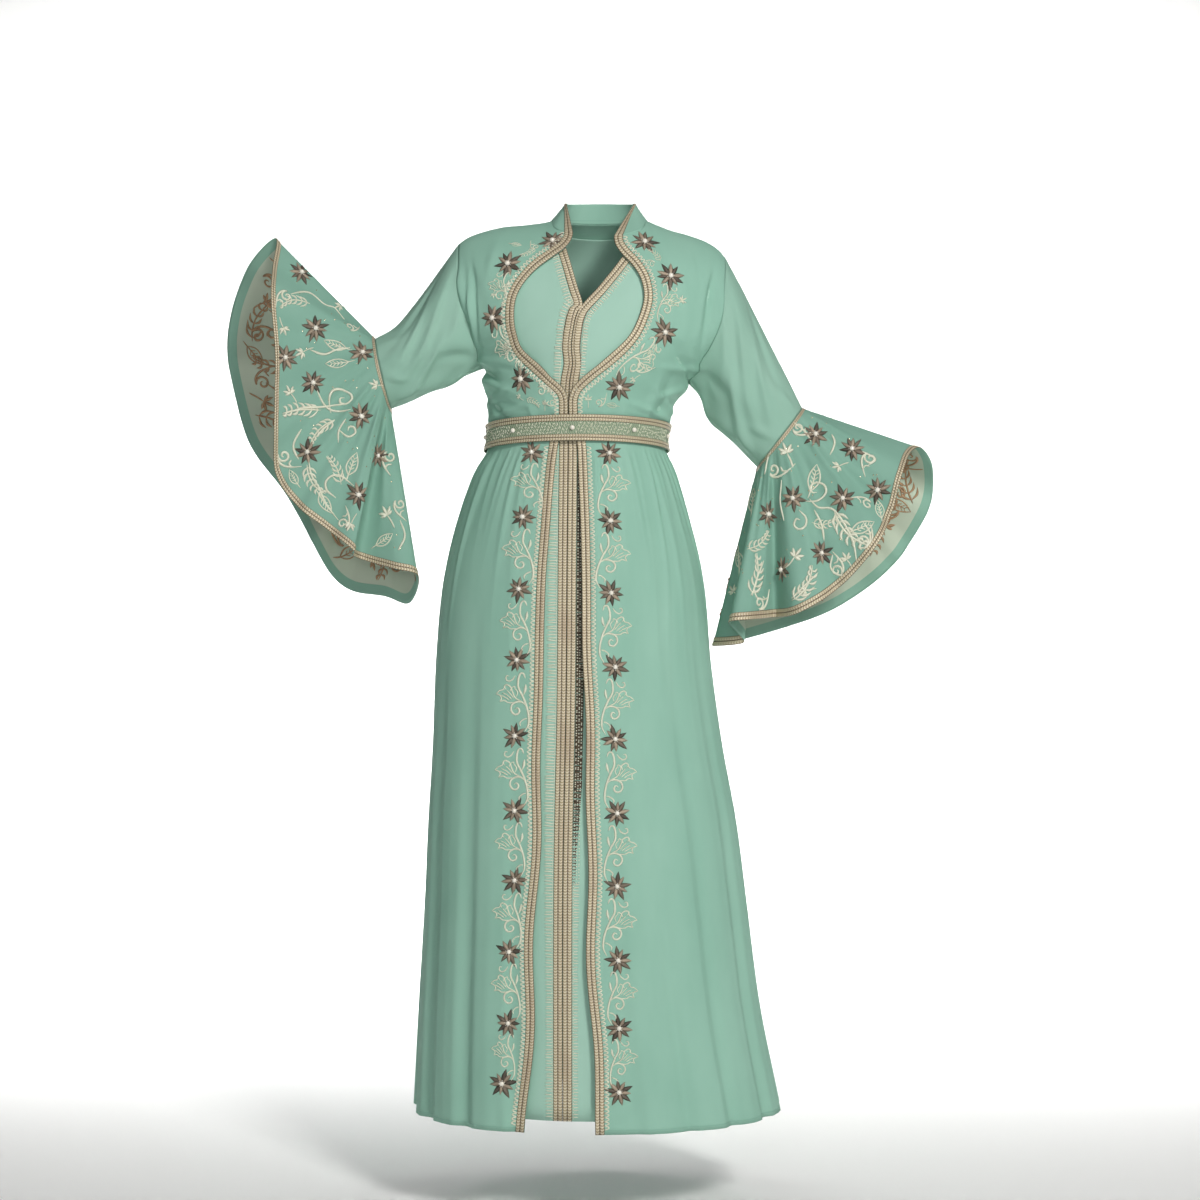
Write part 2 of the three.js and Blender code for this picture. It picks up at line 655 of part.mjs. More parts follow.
// The stand collar rises from the neck seam to its top edge.
function collarSkin(frontRight, back, frontLeft) {
  const neckCount = neckSteps + 1;
  const backStart = shoulderSteps;
  const backNeck = back.rows[0].slice(backStart + 1, back.rows[0].length - backStart - 1);
  const rightNeck = frontRight.rows[0].slice(0, neckCount);
  const leftNeck = frontLeft.rows[0].slice(0, neckCount).reverse();
  const base = [...rightNeck, ...backNeck, ...leftNeck];
  const backAngles = backNeck.map((_, i) => {
    const u = (i + 1) / (backNeck.length + 1);
    return mix(-collarSideAngle, collarSideAngle, u);
  });
  const frontAngles = [...collarFrontAngles, collarSideAngle];
  const angles = [...frontAngles.map((angle) => -angle), ...backAngles, ...frontAngles.slice().reverse()];
  const top = angles.map((angle) => new THREE.Vector3(
    collarTop.x + collarTop.halfWidth * Math.sin(degrees(angle)),
    collarTop.y + collarTop.halfDepth * Math.cos(degrees(angle)),
    collarTop.lowZ + collarTop.riseZ * ((1 + Math.cos(degrees(angle))) / 2) ** collarTop.riseGrowth,
  ));
  const rows = Array.from({ length: collarRows + 1 }, (_, r) => top.map((point, c) => (
    base[c].clone().lerp(point, 1 - r / collarRows)
  )));
  return makeSkin(rows, fromRowCentre);
}

// The height of all folds at a place: each is a soft ridge, widest at its middle.
function foldHeight(folds, around, along) {
  return folds.reduce((sum, fold) => {
    const middle = fold.around + fold.slant * (along - fold.along);
    const aside = THREE.MathUtils.euclideanModulo(around - middle + 180, 360) - 180;
    const reach = (along - fold.along) / fold.reach;
    return sum + fold.height * Math.exp(-((aside / fold.spread) ** 2) - reach ** 2);
  }, 0);
}

// A point of a sleeve's slanted ring: 0 is its highest point, 90 the front and 180 the lowest.
function sleevePoint(table, around, along, lift) {
  const read = (column) => smooth(table, 'along', column, along);
  const top = new THREE.Vector3(read('topX'), 0, read('topZ'));
  const low = new THREE.Vector3(read('lowX'), 0, read('lowZ'));
  const middle = top.clone().add(low).divideScalar(2);
  const upright = top.clone().sub(middle);
  const depth = read('depth');
  const upLift = 1 + lift / upright.length();
  const sideLift = 1 + lift / depth;
  const point = middle.addScaledVector(upright, Math.cos(degrees(around)) * upLift);
  point.y = -depth * sideLift * Math.sin(degrees(around));
  return point;
}

// Sleeves: rings from the armhole of the bodice, whose shape fades out towards the elbow seam.
function sleeveSkin(table, front, back, backColumn) {
  const frontLine = front.rows.slice(0, holeSteps + 1).map((row) => row[row.length - 1]);
  const backLine = back.rows.slice(1, holeSteps).map((row) => row[backColumn]).reverse();
  const armhole = [...frontLine, ...backLine];
  const rows = sleeveStations.map((along) => armhole.map((point, k) => {
    const around = (360 * k) / armhole.length;
    const ends = Math.sin(Math.PI * along) ** sleeveEndCalm;
    const plain = sleevePoint(table, around, along, foldHeight(sleeveFolds, around, along) * ends);
    const start = sleevePoint(table, around, 0, 0);
    return plain.addScaledVector(point.clone().sub(start), (1 - along) ** armholeFade);
  }));
  return makeSkin(rows, fromRowCentre, true);
}

// Bell flounces: straight from the elbow seam to the hem, with waves that grow towards the hem.
function bellSkin(sleeveTable, hemTable) {
  const elbow = sleeveTable[sleeveTable.length - 1];
  const across = new THREE.Vector3(elbow.lowX - elbow.topX, 0, elbow.lowZ - elbow.topZ).normalize();
  const outwards = new THREE.Vector3(-across.z, 0, across.x).multiplyScalar(Math.sign(elbow.topX));
  const columns = Array.from({ length: bellColumns }, (_, k) => (360 * k) / bellColumns);
  const hem = columns.map((turn) => {
    const read = (column) => smoothRound(hemTable, 'turn', column, turn);
    return new THREE.Vector3(read('x'), read('y'), read('z'));
  });
  const length = hem[0].distanceTo(sleevePoint(sleeveTable, 0, 1, 0));
  const stations = [...bellRows, 1 - bellBraidWidth / length, 1];
  const rows = stations.map((along) => columns.map((turn, k) => {
    const seam = sleevePoint(sleeveTable, turn, 1, 0);
    const point = seam.lerp(hem[k], along);
    const wave = bellWaveHeight * along ** bellWaveGrowth;
    point.y += wave * Math.sin(degrees(turn * bellWaves));
    return point;
  }));
  const skin = makeSkin(rows, fromRowCentre, true);
  skin.normals[0] = columns.map((turn) => {
    const radial = sleevePoint(sleeveTable, turn, 1, 1).sub(sleevePoint(sleeveTable, turn, 1, 0));
    return radial.normalize();
  });
  skin.rows[0].forEach((point) => point.addScaledVector(outwards, seamGap));
  return skin;
}

// Skirt panels of the gown: gathered under the belt, with long folds down to the hem.
function skirtLift(turn, z) {
  return skirtFolds.reduce((sum, fold) => {
    const grown = clamp((z - fold.start) / (gownHem - fold.start), 0, 1);
    const middle = fold.turn + fold.drift * grown;
    const aside = THREE.MathUtils.euclideanModulo(turn - middle + 180, 360) - 180;
    return sum + fold.height * grown * Math.exp(-((aside / fold.spread) ** 2));
  }, 0);
}

function skirtPoint(turn, z, gatherSign) {
  const gather = gatherSign * smooth(gatherFade, 'z', 'height', z);
  return formPoint(gown, turn, z, skirtLift(turn, z) + gather);
}

function skirtFront(side, edgeColumn, columns) {
  const rows = skirtRows.map((z) => {
    const edgeX = smooth(skirtEdges, 'z', edgeColumn, z);
    const edgeTurn = turnAt(gown, edgeX, z);
    const besideTurn = turnAt(gown, edgeX + side.sign * frontBraidWidth, z);
    const row = [skirtPoint(edgeTurn, z, 0)];
    for (let c = 0; c < columns; c += 1) {
      const gatherSign = c === 0 || c === columns - 1 ? 0 : (-1) ** c;
      row.push(skirtPoint(mix(besideTurn, side.sign * 90, c / (columns - 1)), z, gatherSign));
    }
    return row;
  });
  return makeSkin(rows, forwards);
}

function skirtBack() {
  const columns = skirtColumns.back;
  const rows = skirtRows.map((z) => Array.from({ length: columns + 1 }, (_, c) => {
    const gatherSign = c === 0 || c === columns ? 0 : (-1) ** c;
    return skirtPoint(270 - (180 * c) / columns, z, gatherSign);
  }));
  return makeSkin(rows, backwards);
}

// The dress: its armholes lie below the gown's, and both fronts meet at the placket below the V.
function dressOuter(side) {
  const armpit = side.armpit - dressArmpitDrop;
  return outerEdge(dress, side, side.dressTipX, armpit, dressHoleSteps, dressSideSteps, dressTurnLess);
}

function dressFront(side, edge, centreShift) {
  const shoulder = shoulderSeam(dress, side.dressNeckX, side.dressTipX, dressShoulderSteps);
  const neck = neckCurve(edge[0], shoulder[0], placketBraidWidth, dressNeckSteps);
  const outer = dressOuter(side);
  const upper = frontRows(dress, side, edge, placketBraidWidth, neck, shoulder, outer);
  const columns = upper[0].length - 2;
  const lower = dressSkirtRows.map((z) => {
    const edgeX = smooth(dressCentre, 'z', 'x', z) + centreShift;
    const besideTurn = turnAt(dress, edgeX + side.sign * placketBraidWidth, z);
    const across = Array.from({ length: columns + 1 }, (_, c) => ({
      turn: mix(besideTurn, side.sign * 90, c / columns),
      z,
    }));
    return [{ turn: turnAt(dress, edgeX, z), z }, ...across];
  });
  return makeSkin([...upper, ...lower].map((row) => row.map(onFront(dress))), forwards);
}

function dressBack() {
  const half = (side) => ({
    shoulder: shoulderSeam(dress, side.dressNeckX, side.dressTipX, dressShoulderSteps),
    outer: dressOuter(side),
  });
  const upper = backRows(dress, half(rightSide), half(leftSide), dressBackNeckRise, dressBackNeckSteps);
  const columns = upper[0].length - 1;
  const lower = dressSkirtRows.map((z) => Array.from({ length: columns + 1 }, (_, c) => ({
    turn: mix(-90, 90, c / columns),
    z,
  })));
  return makeSkin([...upper, ...lower].map((row) => row.map(onBack(dress))), backwards);
}

// The belt's rings, each by its height above the belt's middle line.
function beltSkin() {
  const edge = beltHeight / 2;
  const heights = [edge, edge - beltBraidWidth, beltBraidWidth - edge, -edge];
  const rows = heights.map((height) => Array.from({ length: beltColumns }, (_, c) => {
    const turn = (360 * c) / beltColumns;
    const level = formPoint(beltForm, turn, beltMiddle + height);
    return formPoint(beltForm, turn, level.z - beltRise * level.y);
  }));
  return makeSkin(rows, fromRowCentre, true);
}

function finish(color, roughness, metalness = 0) {
  return new THREE.MeshStandardMaterial({ color, roughness, metalness });
}
const gownCloth = finish(0x8fc4ad, 0.8);
const sleeveCloth = finish(0xa9cdb9, 0.75);
const bellCloth = finish(0x86bfa6, 0.8);
const dressCloth = finish(0xa2d0bc, 0.72);
const goldBraid = finish(0xc9b98d, 0.55, 0.25);
const beltCloth = finish(0xa9c2a4, 0.6, 0.1);

const garment = new THREE.Group();
function addPiece(name, geometry, material) {
  const mesh = new THREE.Mesh(geometry, material);
  mesh.name = name;
  garment.add(mesh);
}
const cloth = (skin, trimmed, gap) => wallBetween(skin, -clothThickness, 0, trimmed, gap);
const braid = (skin, trimmed) => wallBetween(skin, layGap, layGap + braidThickness, trimmed);

const bodiceRight = gownFront(rightSide, gownEdgeRight);
const bodiceLeft = gownFront(leftSide, gownEdgeLeft);
const bodiceBack = gownBack();
const collar = collarSkin(bodiceRight, bodiceBack, bodiceLeft);
const armRight = sleeveSkin(sleeveRight, bodiceRight, bodiceBack, 0);
const armLeft = sleeveSkin(sleeveLeft, bodiceLeft, bodiceBack, bodiceBack.rows[0].length - 1);
const flounceRight = bellSkin(sleeveRight, bellHemRight);
const flounceLeft = bellSkin(sleeveLeft, bellHemLeft);
const panelRight = skirtFront(rightSide, 'right', skirtColumns.right);
const panelLeft = skirtFront(leftSide, 'left', skirtColumns.left);
const panelBack = skirtBack();
const underRight = dressFront(rightSide, dressEdgeRight, 0);
const underLeft = dressFront(leftSide, dressEdgeLeft, dressCentreGap);
const underBack = dressBack();
const beltRing = beltSkin();

shareSeamNormals([bodiceRight, bodiceLeft, bodiceBack, collar, armRight, armLeft]);
shareSeamNormals([panelRight, panelLeft, panelBack]);
shareSeamNormals([underRight, underLeft, underBack]);
const waistRow = holeSteps + sideSteps;
[bodiceRight, bodiceLeft, bodiceBack].forEach((skin) => flattenRow(skin, waistRow));
[panelRight, panelLeft, panelBack].forEach((skin) => skin.rows.forEach((row, r) => flattenRow(skin, r)));
[[armRight, sleeveRight], [armLeft, sleeveLeft]].forEach(([skin, table]) => {
  const lastRing = skin.rows.length - 1;
  skin.normals[lastRing] = skin.rows[lastRing].map((point, k) => {
    const around = (360 * k) / skin.rows[lastRing].length;
    return sleevePoint(table, around, 1, 1).sub(sleevePoint(table, around, 1, 0)).normalize();
  });
});

const seamed = ['top', 'bottom', 'last'];
addPiece('bodice_front_right', cloth(bodiceRight, seamed), gownCloth);
addPiece('bodice_front_left', cloth(bodiceLeft, seamed), gownCloth);
addPiece('bodice_back', cloth(bodiceBack, ['top', 'bottom', 'first', 'last']), gownCloth);
addPiece('stand_collar', cloth(collar, ['bottom'], bentSeamGap), gownCloth);
addPiece('sleeve_right', cloth(armRight, ['top'], bentSeamGap), sleeveCloth);
addPiece('sleeve_left', cloth(armLeft, ['top'], bentSeamGap), sleeveCloth);
addPiece('bell_right', cloth(flounceRight, []), bellCloth);
addPiece('bell_left', cloth(flounceLeft, []), bellCloth);
addPiece('skirt_front_right', cloth(panelRight, ['top', 'last']), gownCloth);
addPiece('skirt_front_left', cloth(panelLeft, ['top', 'last']), gownCloth);
addPiece('skirt_back', cloth(panelBack, ['top', 'first', 'last']), gownCloth);
addPiece('dress_front_right', cloth(underRight, ['top', 'last']), dressCloth);
addPiece('dress_front_left', cloth(underLeft, ['top', 'last']), dressCloth);
addPiece('dress_back', cloth(underBack, ['top', 'first', 'last']), dressCloth);

const firstStrip = (skin) => partOfSkin(skin, 0, skin.rows.length - 1, 0, 1);
const lastStrip = (skin) => {
  const last = skin.rows[0].length - 1;
  return partOfSkin(skin, 0, skin.rows.length - 1, last - 1, last);
};
addPiece('bodice_braid_right', braid(firstStrip(bodiceRight), ['top', 'bottom']), goldBraid);
addPiece('bodice_braid_left', braid(firstStrip(bodiceLeft), ['top', 'bottom']), goldBraid);
addPiece('collar_braid_right', braid(firstStrip(collar), ['bottom']), goldBraid);
addPiece('collar_braid_left', braid(lastStrip(collar), ['bottom']), goldBraid);
addPiece('skirt_braid_right', braid(firstStrip(panelRight), ['top']), goldBraid);
addPiece('skirt_braid_left', braid(firstStrip(panelLeft), ['top']), goldBraid);
addPiece('placket_braid_right', braid(firstStrip(underRight), []), goldBraid);
addPiece('placket_braid_left', braid(firstStrip(underLeft), []), goldBraid);
const hemStrip = (skin) => partOfSkin(skin, skin.rows.length - 2, skin.rows.length - 1, 0, bellColumns - 1);
addPiece('bell_braid_right', braid(hemStrip(flounceRight), []), goldBraid);
addPiece('bell_braid_left', braid(hemStrip(flounceLeft), []), goldBraid);

addPiece('belt_band', cloth(beltRing, []), beltCloth);
addPiece('belt_braid_top', braid(partOfSkin(beltRing, 0, 1, 0, beltColumns - 1), []), goldBraid);
addPiece('belt_braid_bottom', braid(partOfSkin(beltRing, 2, 3, 0, beltColumns - 1), []), goldBraid);

export default garment;
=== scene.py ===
import bmesh
import bpy
import numpy as np
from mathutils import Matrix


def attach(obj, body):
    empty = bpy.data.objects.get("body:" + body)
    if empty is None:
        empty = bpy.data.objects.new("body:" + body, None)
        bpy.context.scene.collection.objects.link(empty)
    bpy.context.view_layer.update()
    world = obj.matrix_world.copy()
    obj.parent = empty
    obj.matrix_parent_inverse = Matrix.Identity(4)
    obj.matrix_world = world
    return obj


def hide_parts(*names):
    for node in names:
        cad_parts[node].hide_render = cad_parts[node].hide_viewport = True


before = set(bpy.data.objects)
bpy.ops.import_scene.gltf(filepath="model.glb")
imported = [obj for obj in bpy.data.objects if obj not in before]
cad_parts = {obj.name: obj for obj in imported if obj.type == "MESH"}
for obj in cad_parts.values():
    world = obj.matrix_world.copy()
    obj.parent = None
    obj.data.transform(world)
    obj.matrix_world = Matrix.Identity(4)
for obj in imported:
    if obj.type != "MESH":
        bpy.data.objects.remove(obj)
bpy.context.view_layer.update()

# A green open gown over a sleeveless dress. Shapes are worked out in millimetres in the frame's
# own axes, and go into the meshes in metres. Right and left are the wearer's.
mm = 0.001
chance = np.random.default_rng(11)


# Camera, stage and light

# The photo's own camera: its distance and height, its lens and sensor, the size of a pixel at the
# shoulders, all in millimetres, and the pixel in the photo's middle. The stage is in metres.
view = {"distance": 4000, "height": -576, "lens": 75, "sensor": 36, "pixel": 1.6, "middle": 600}
studio = {"floor": -1.528, "halfWidth": 3.6, "front": -3.4, "bend": 2.4, "back": 5.2, "top": 8.0,
          "colour": (0.94, 0.94, 0.93), "patchColour": (0.87, 0.87, 0.86), "patches": 0.04, "rough": 0.85}
lamps = {
    "key": {"place": (2.1, -4.3, 2.3), "aim": (0, 0, -0.6), "size": 1.1, "spread": 180, "power": 188,
            "colour": (1, 0.99, 0.97)},
    "fill": {"place": (-0.5, -5.2, 0.2), "aim": (0, 0, -0.8), "size": 1.5, "spread": 180, "power": 42,
             "colour": (0.98, 0.99, 1)},
}
lampPairs = {  # one on each side, for the backdrop and for the floor
    "backdrop": {"place": (2.6, 2.3, 1.5), "aim": (0.9, 4.6, -1.2), "size": 2.0, "spread": 110, "power": 80},
    "floor": {"place": (1.6, 1.6, 1.6), "aim": (0.9, 2.6, -1.5), "size": 1.6, "spread": 90, "power": 30},
}
for name, lamp in lampPairs.items():
    for word, sign in (("Right", -1), ("Left", 1)):
        place, aim = (np.multiply(lamp[part], (sign, 1, 1)) for part in ("place", "aim"))
        lamps[name + word] = {**lamp, "place": place, "aim": aim, "colour": (1, 1, 1)}
ambient = {"colour": (0.98, 0.99, 1), "strength": 0.15, "seen": 0.96}


# The camera stands level in front of the wearer and looks along +Y.
def addCamera():
    data = bpy.data.cameras.new("photoCamera")
    data.lens = view["lens"]
    data.sensor_width = view["sensor"]
    camera = bpy.data.objects.new("photoCamera", data)
    camera.location = (0, -view["distance"] * mm, view["height"] * mm)
    camera.rotation_euler = (np.pi / 2, 0, 0)
    bpy.context.collection.objects.link(camera)
    bpy.context.scene.camera = camera
    bpy.context.scene.view_settings.view_transform = "Standard"


# Square lamps, each turned towards its aim, and a world that the camera sees brighter than the
# cloth does, by a switch on camera rays.
def addLamps():
    for name, lamp in lamps.items():
        data = bpy.data.lights.new(name, "AREA")
        data.size = lamp["size"]
        data.energy = lamp["power"]
        data.color = lamp["colour"]
        data.spread = np.radians(lamp["spread"])
        light = bpy.data.objects.new(name, data)
        light.location = lamp["place"]
        aim = np.array(lamp["aim"]) - np.array(lamp["place"])
        level = np.hypot(aim[0], aim[1])
        light.rotation_euler = (np.arctan2(level, -aim[2]), 0, np.arctan2(-aim[0], aim[1]))
        light.visible_camera = False
        bpy.context.collection.objects.link(light)
    world = bpy.data.worlds.new("studioWorld")
    world.use_nodes = True
    tree = world.node_tree
    tree.nodes["Background"].inputs["Color"].default_value = (*ambient["colour"], 1)
    seen = tree.nodes.new("ShaderNodeLightPath")
    strength = tree.nodes.new("ShaderNodeMapRange")
    strength.inputs["To Min"].default_value = ambient["strength"]
    strength.inputs["To Max"].default_value = ambient["seen"]
    tree.links.new(seen.outputs["Is Camera Ray"], strength.inputs["Value"])
    tree.links.new(strength.outputs["Result"], tree.nodes["Background"].inputs["Strength"])
    bpy.context.scene.world = world


# A number socket with ordinary arithmetic. Each operator adds a Math node.
class Wire:
    def __init__(self, sheet, socket):
        self.sheet, self.socket = sheet, socket

    def math(self, operation, *others):
        inputs = dict(enumerate([self, *others]))
        return self.sheet.add("ShaderNodeMath", {"operation": operation}, inputs)

    def __add__(self, other):
        return self.math("ADD", other)

    def __sub__(self, other):
        return self.math("SUBTRACT", other)

    def __rsub__(self, other):
        return (self * -1) + other

    def __mul__(self, other):
        return self.math("MULTIPLY", other)

    def __abs__(self):
        return self.math("ABSOLUTE")

    def sine(self):
        return self.math("SINE")

    def fraction(self):
        return self.math("FRACT")

    def below(self, other):
        return self.math("LESS_THAN", other)

    def above(self, other):
        return self.math("GREATER_THAN", other)

    def limit(self):  # kept between 0 and 1
        return self.math("MINIMUM", 1).math("MAXIMUM", 0)

    __radd__, __rmul__ = __add__, __mul__


# One material. add() makes any node: its settings first, then the values or links of its sockets.
class Finish:
    def __init__(self, name):
        self.material = bpy.data.materials.new(name)
        self.material.use_nodes = True
        self.tree = self.material.node_tree
        self.shader = self.tree.nodes["Principled BSDF"]

    def add(self, kind, settings, inputs, output=0):
        node = self.tree.nodes.new(kind)
        for key, value in settings.items():
            if key == "stops":
                while len(node.color_ramp.elements) < len(value):
                    node.color_ramp.elements.new(0.5)
                for element, (position, colour) in zip(node.color_ramp.elements, value):
                    element.position = position
                    element.color = (*colour, 1)
            else:
                setattr(node, key, value)
        for key, value in inputs.items():
            self.put(node.inputs[key], value)
        return Wire(self, node.outputs[output])

    def put(self, socket, value):
        if isinstance(value, Wire):
            self.tree.links.new(value.socket, socket)
        elif isinstance(value, tuple) and len(value) == 3 and socket.type == "RGBA":
            socket.default_value = (*value, 1)
        else:
            socket.default_value = value

    def set(self, **values):
        for key, value in values.items():
            self.put(self.shader.inputs[key.replace("_", " ")], value)

    def uv(self):  # the piece's cut coordinates: the pair, and each of the two
        source = self.add("ShaderNodeUVMap", {"uv_map": "cut"}, {})
        across = self.add("ShaderNodeSeparateXYZ", {}, {0: source}, "X")
        return source, across, Wire(self, across.socket.node.outputs["Y"])

    def place(self):  # Object coordinates
        return self.add("ShaderNodeTexCoord", {}, {}, "Object")

    def tone(self):  # the piece's own value at each point
        return self.add("ShaderNodeAttribute", {"attribute_name": "tone"}, {}, "Fac")

    def noise(self, where, scale, detail=2.0, rough=0.5):
        values = {"Vector": where, "Scale": scale, "Detail": detail, "Roughness": rough}
        return self.add("ShaderNodeTexNoise", {"noise_dimensions": "3D"}, values, "Fac")

    def stretched(self, where, scale):
        return self.add("ShaderNodeMapping", {}, {"Vector": where, "Scale": scale})

    def mix(self, factor, first, second):
        return self.add("ShaderNodeMix", {"data_type": "RGBA"}, {0: factor, 6: first, 7: second}, 2)

    def bump(self, height, distance, strength=1.0):
        values = {"Height": height, "Distance": distance, "Strength": strength}
        self.put(self.shader.inputs["Normal"], self.add("ShaderNodeBump", {}, values))


# Finishes

clothFinish = {
    "gownCrepe": {"light": (0.345, 0.58, 0.468), "deep": (0.265, 0.49, 0.385),
                  "rough": 0.72, "sheen": 0.01, "alpha": 1},
    "sleeveGeorgette": {"light": (0.385, 0.605, 0.495), "deep": (0.3, 0.525, 0.415),
                        "rough": 0.7, "sheen": 0.02, "alpha": 0.93},
    "bellCrepe": {"light": (0.29, 0.495, 0.4), "deep": (0.2, 0.385, 0.3),
                  "rough": 0.74, "sheen": 0.01, "alpha": 1},
    "bellReverse": {"light": (0.6, 0.655, 0.53), "deep": (0.46, 0.55, 0.43),
                    "rough": 0.85, "sheen": 0.02, "alpha": 1},
    "dressSatin": {"light": (0.42, 0.65, 0.54), "deep": (0.35, 0.575, 0.465),
                   "rough": 0.5, "sheen": 0.01, "alpha": 1},
    "beltSilk": {"light": (0.5, 0.54, 0.38), "deep": (0.12, 0.21, 0.14),
                 "rough": 0.6, "sheen": 0.02, "alpha": 1},
}
# Scales of the cloth's patterns for each metre, and the depth of its threads in metres
weaveLook = {"slow": 3.0, "stretch": (5, 1.6, 1), "grain": 900, "threads": 5200, "depth": 0.0004,
             "slowPart": 1.3, "grainPart": 0.35, "deepen": 0.45,
             "sheenRough": 0.4, "shine": 0.12, "seeThrough": 0.04}
hemStitch = {"fromHem": 0.0065, "halfWidth": 0.0007, "strength": 0.9}
beltStitch = {"across": 0.0036, "along": 0.0042, "swayScale": 900, "sway": 1.4, "strength": 0.9}
reverseRim = {"width": 0.017, "colour": (0.26, 0.46, 0.36)}
threadFinish = {
    "creamThread": {"light": (0.93, 0.92, 0.78), "deep": (0.74, 0.74, 0.56), "rough": 0.45, "metal": 0.05},
    "copperThread": {"light": (0.62, 0.38, 0.21), "deep": (0.3, 0.19, 0.12), "rough": 0.5, "metal": 0.1},
    # the ladder's brown ground: a painted shade, not a thread of the dress
    "brownShade": {"light": (0.16, 0.12, 0.075), "deep": (0.06, 0.045, 0.03), "rough": 0.5, "metal": 0.1},
}
braidFinish = {"cream": (0.8, 0.72, 0.54), "gold": (0.35, 0.27, 0.15), "brown": (0.1, 0.072, 0.042),
               "rose": (0.4, 0.28, 0.19), "twist": 0.0044, "rough": 0.42, "metal": 0.15, "line": 0.74,
               "fibres": (6, 900, 1), "depth": 0.0007}
# The petals' glint colour is a painted highlight, not a colour of their thread.
petalFinish = {"dark": (0.048, 0.037, 0.026), "beige": (0.52, 0.41, 0.3), "paintedGlint": (0.6, 0.5, 0.4),
               "strands": 44, "rough": 0.35, "metal": 0.15, "depth": 0.0004}
pearlFinish = {"warm": (0.86, 0.78, 0.64), "white": (0.95, 0.92, 0.85), "rough": 0.16, "coat": 0.5,
               "coatRough": 0.1, "shine": 0.6}
sequinFinish = {"gold": (0.75, 0.58, 0.3), "pale": (0.95, 0.9, 0.75), "rough": 0.2, "metal": 0.8}


# Cloth: two tones by slow noise, a crepe grain by fine noise in the cut's own coordinates, and
# threads across and along as faint waves.
def clothMaterial(name):
    look = clothFinish[name]
    f = Finish(name)
    source, across, along = f.uv()
    slow = f.noise(f.stretched(source, weaveLook["stretch"]), weaveLook["slow"], 3)
    grain = f.noise(source, weaveLook["grain"], 3, 0.7)
    weave = (across * weaveLook["threads"]).sine() * (along * weaveLook["threads"]).sine()
    tone = slow * weaveLook["slowPart"] + grain * weaveLook["grainPart"]
    tone = (tone - weaveLook["deepen"]).limit()
    if name == "gownCrepe":  # a row of stitches along the rolled hem, by the distance from the hem
        hem = abs(f.tone() - hemStitch["fromHem"]).below(hemStitch["halfWidth"])
        tone = (tone - hem * hemStitch["strength"]).limit()
    if name == "beltSilk":  # tight rows of pale stitches on green
        sway = (along * beltStitch["swayScale"]).sine() * beltStitch["sway"]
        rows = (across * (2 * np.pi / beltStitch["across"]) + sway).sine()
        rows = rows * (along * (2 * np.pi / beltStitch["along"])).sine()
        tone = (rows * beltStitch["strength"] + grain * 1.5 - 0.32).limit()
    colour = f.mix(tone, look["deep"], look["light"])
    if name == "bellReverse":  # a plain green band along the rim, by the distance from the hem
        rim = f.tone().below(reverseRim["width"])
        colour = f.mix(rim, colour, reverseRim["colour"])
    f.set(Base_Color=colour, Roughness=(grain * 0.16 + (look["rough"] - 0.08)))
    f.set(Sheen_Weight=look["sheen"], Sheen_Roughness=weaveLook["sheenRough"])
    f.set(Specular_IOR_Level=weaveLook["shine"])
    if look["alpha"] < 1:
        f.set(Alpha=(weave * weaveLook["seeThrough"] + look["alpha"]))
    f.bump(grain * 0.8 + weave * 0.2, weaveLook["depth"], 0.5)
    return f.material


# Braid: u goes across it from 0 to 1 and v along it in metres. Two twisted cream and gold cords
# lie between three brown lines.
def braidMaterial():
    look = braidFinish
    f = Finish("goldBraid")
    source, across, along = f.uv()
    slant = abs((across * 2).fraction() - 0.5)
    twist = (along * (2 * np.pi / look["twist"]) + slant * 5).sine() * 0.5 + 0.5
    speck = f.noise(f.stretched(source, look["fibres"]), 1.6, 2)
    gold = f.mix((twist * 0.85 + speck * 0.9 - 0.42).limit(), look["gold"], look["cream"])
    worn = f.noise(f.place(), 14, 3)
    gold = f.mix((worn * 3.2 - 1.35 - across * 0.5).limit() * 0.6, gold, look["rose"])
    line = abs(abs(across - 0.5) * 2 - 0.5) * 2
    edge = line.above(look["line"])
    dash = ((along * (2 * np.pi / look["twist"])).sine() * 0.12 + 0.86) * edge
    f.set(Base_Color=f.mix(dash, gold, look["brown"]), Metallic=((1 - edge) * look["metal"]))
    f.set(Roughness=(speck * 0.25 + (look["rough"] - 0.1)))
    f.bump(twist * 0.6 + speck * 0.4, look["depth"], 0.8)
    return f.material


# Thread work: fine lines along each strand, and a slow change of tone.
def threadMaterial(name):
    look = threadFinish[name]
    f = Finish(name)
    _, across, along = f.uv()
    strand = (along * 5000 + across * 9).sine() * 0.5 + 0.5
    slow = f.noise(f.place(), 160, 2)
    f.set(Base_Color=f.mix((slow * 0.9 + strand * 0.5 - 0.2).limit(), look["deep"], look["light"]))
    f.set(Roughness=(strand * 0.2 + look["rough"]), Metallic=look["metal"])
    f.bump(strand, 0.0003, 0.6)
    return f.material


# Petals: the attribute "tone" goes from dark to beige, and threads run along each petal, with a painted
# highlight on the crests of the threads.
def petalMaterial():
    look = petalFinish
    f = Finish("petalThread")
    across = f.uv()[1]
    strand = (across * look["strands"]).sine() * 0.5 + 0.5
    speck = f.noise(f.place(), 700, 2)
    colour = f.mix(f.tone(), look["dark"], look["beige"])
    # painted highlight: the glint colour mixed in along the crests of the strands
    f.set(Base_Color=f.mix((strand * speck * 0.9).limit() * 0.4, colour, look["paintedGlint"]))
    f.set(Roughness=(speck * 0.3 + look["rough"]), Metallic=look["metal"])
    f.bump(strand, look["depth"], 0.7)
    return f.material


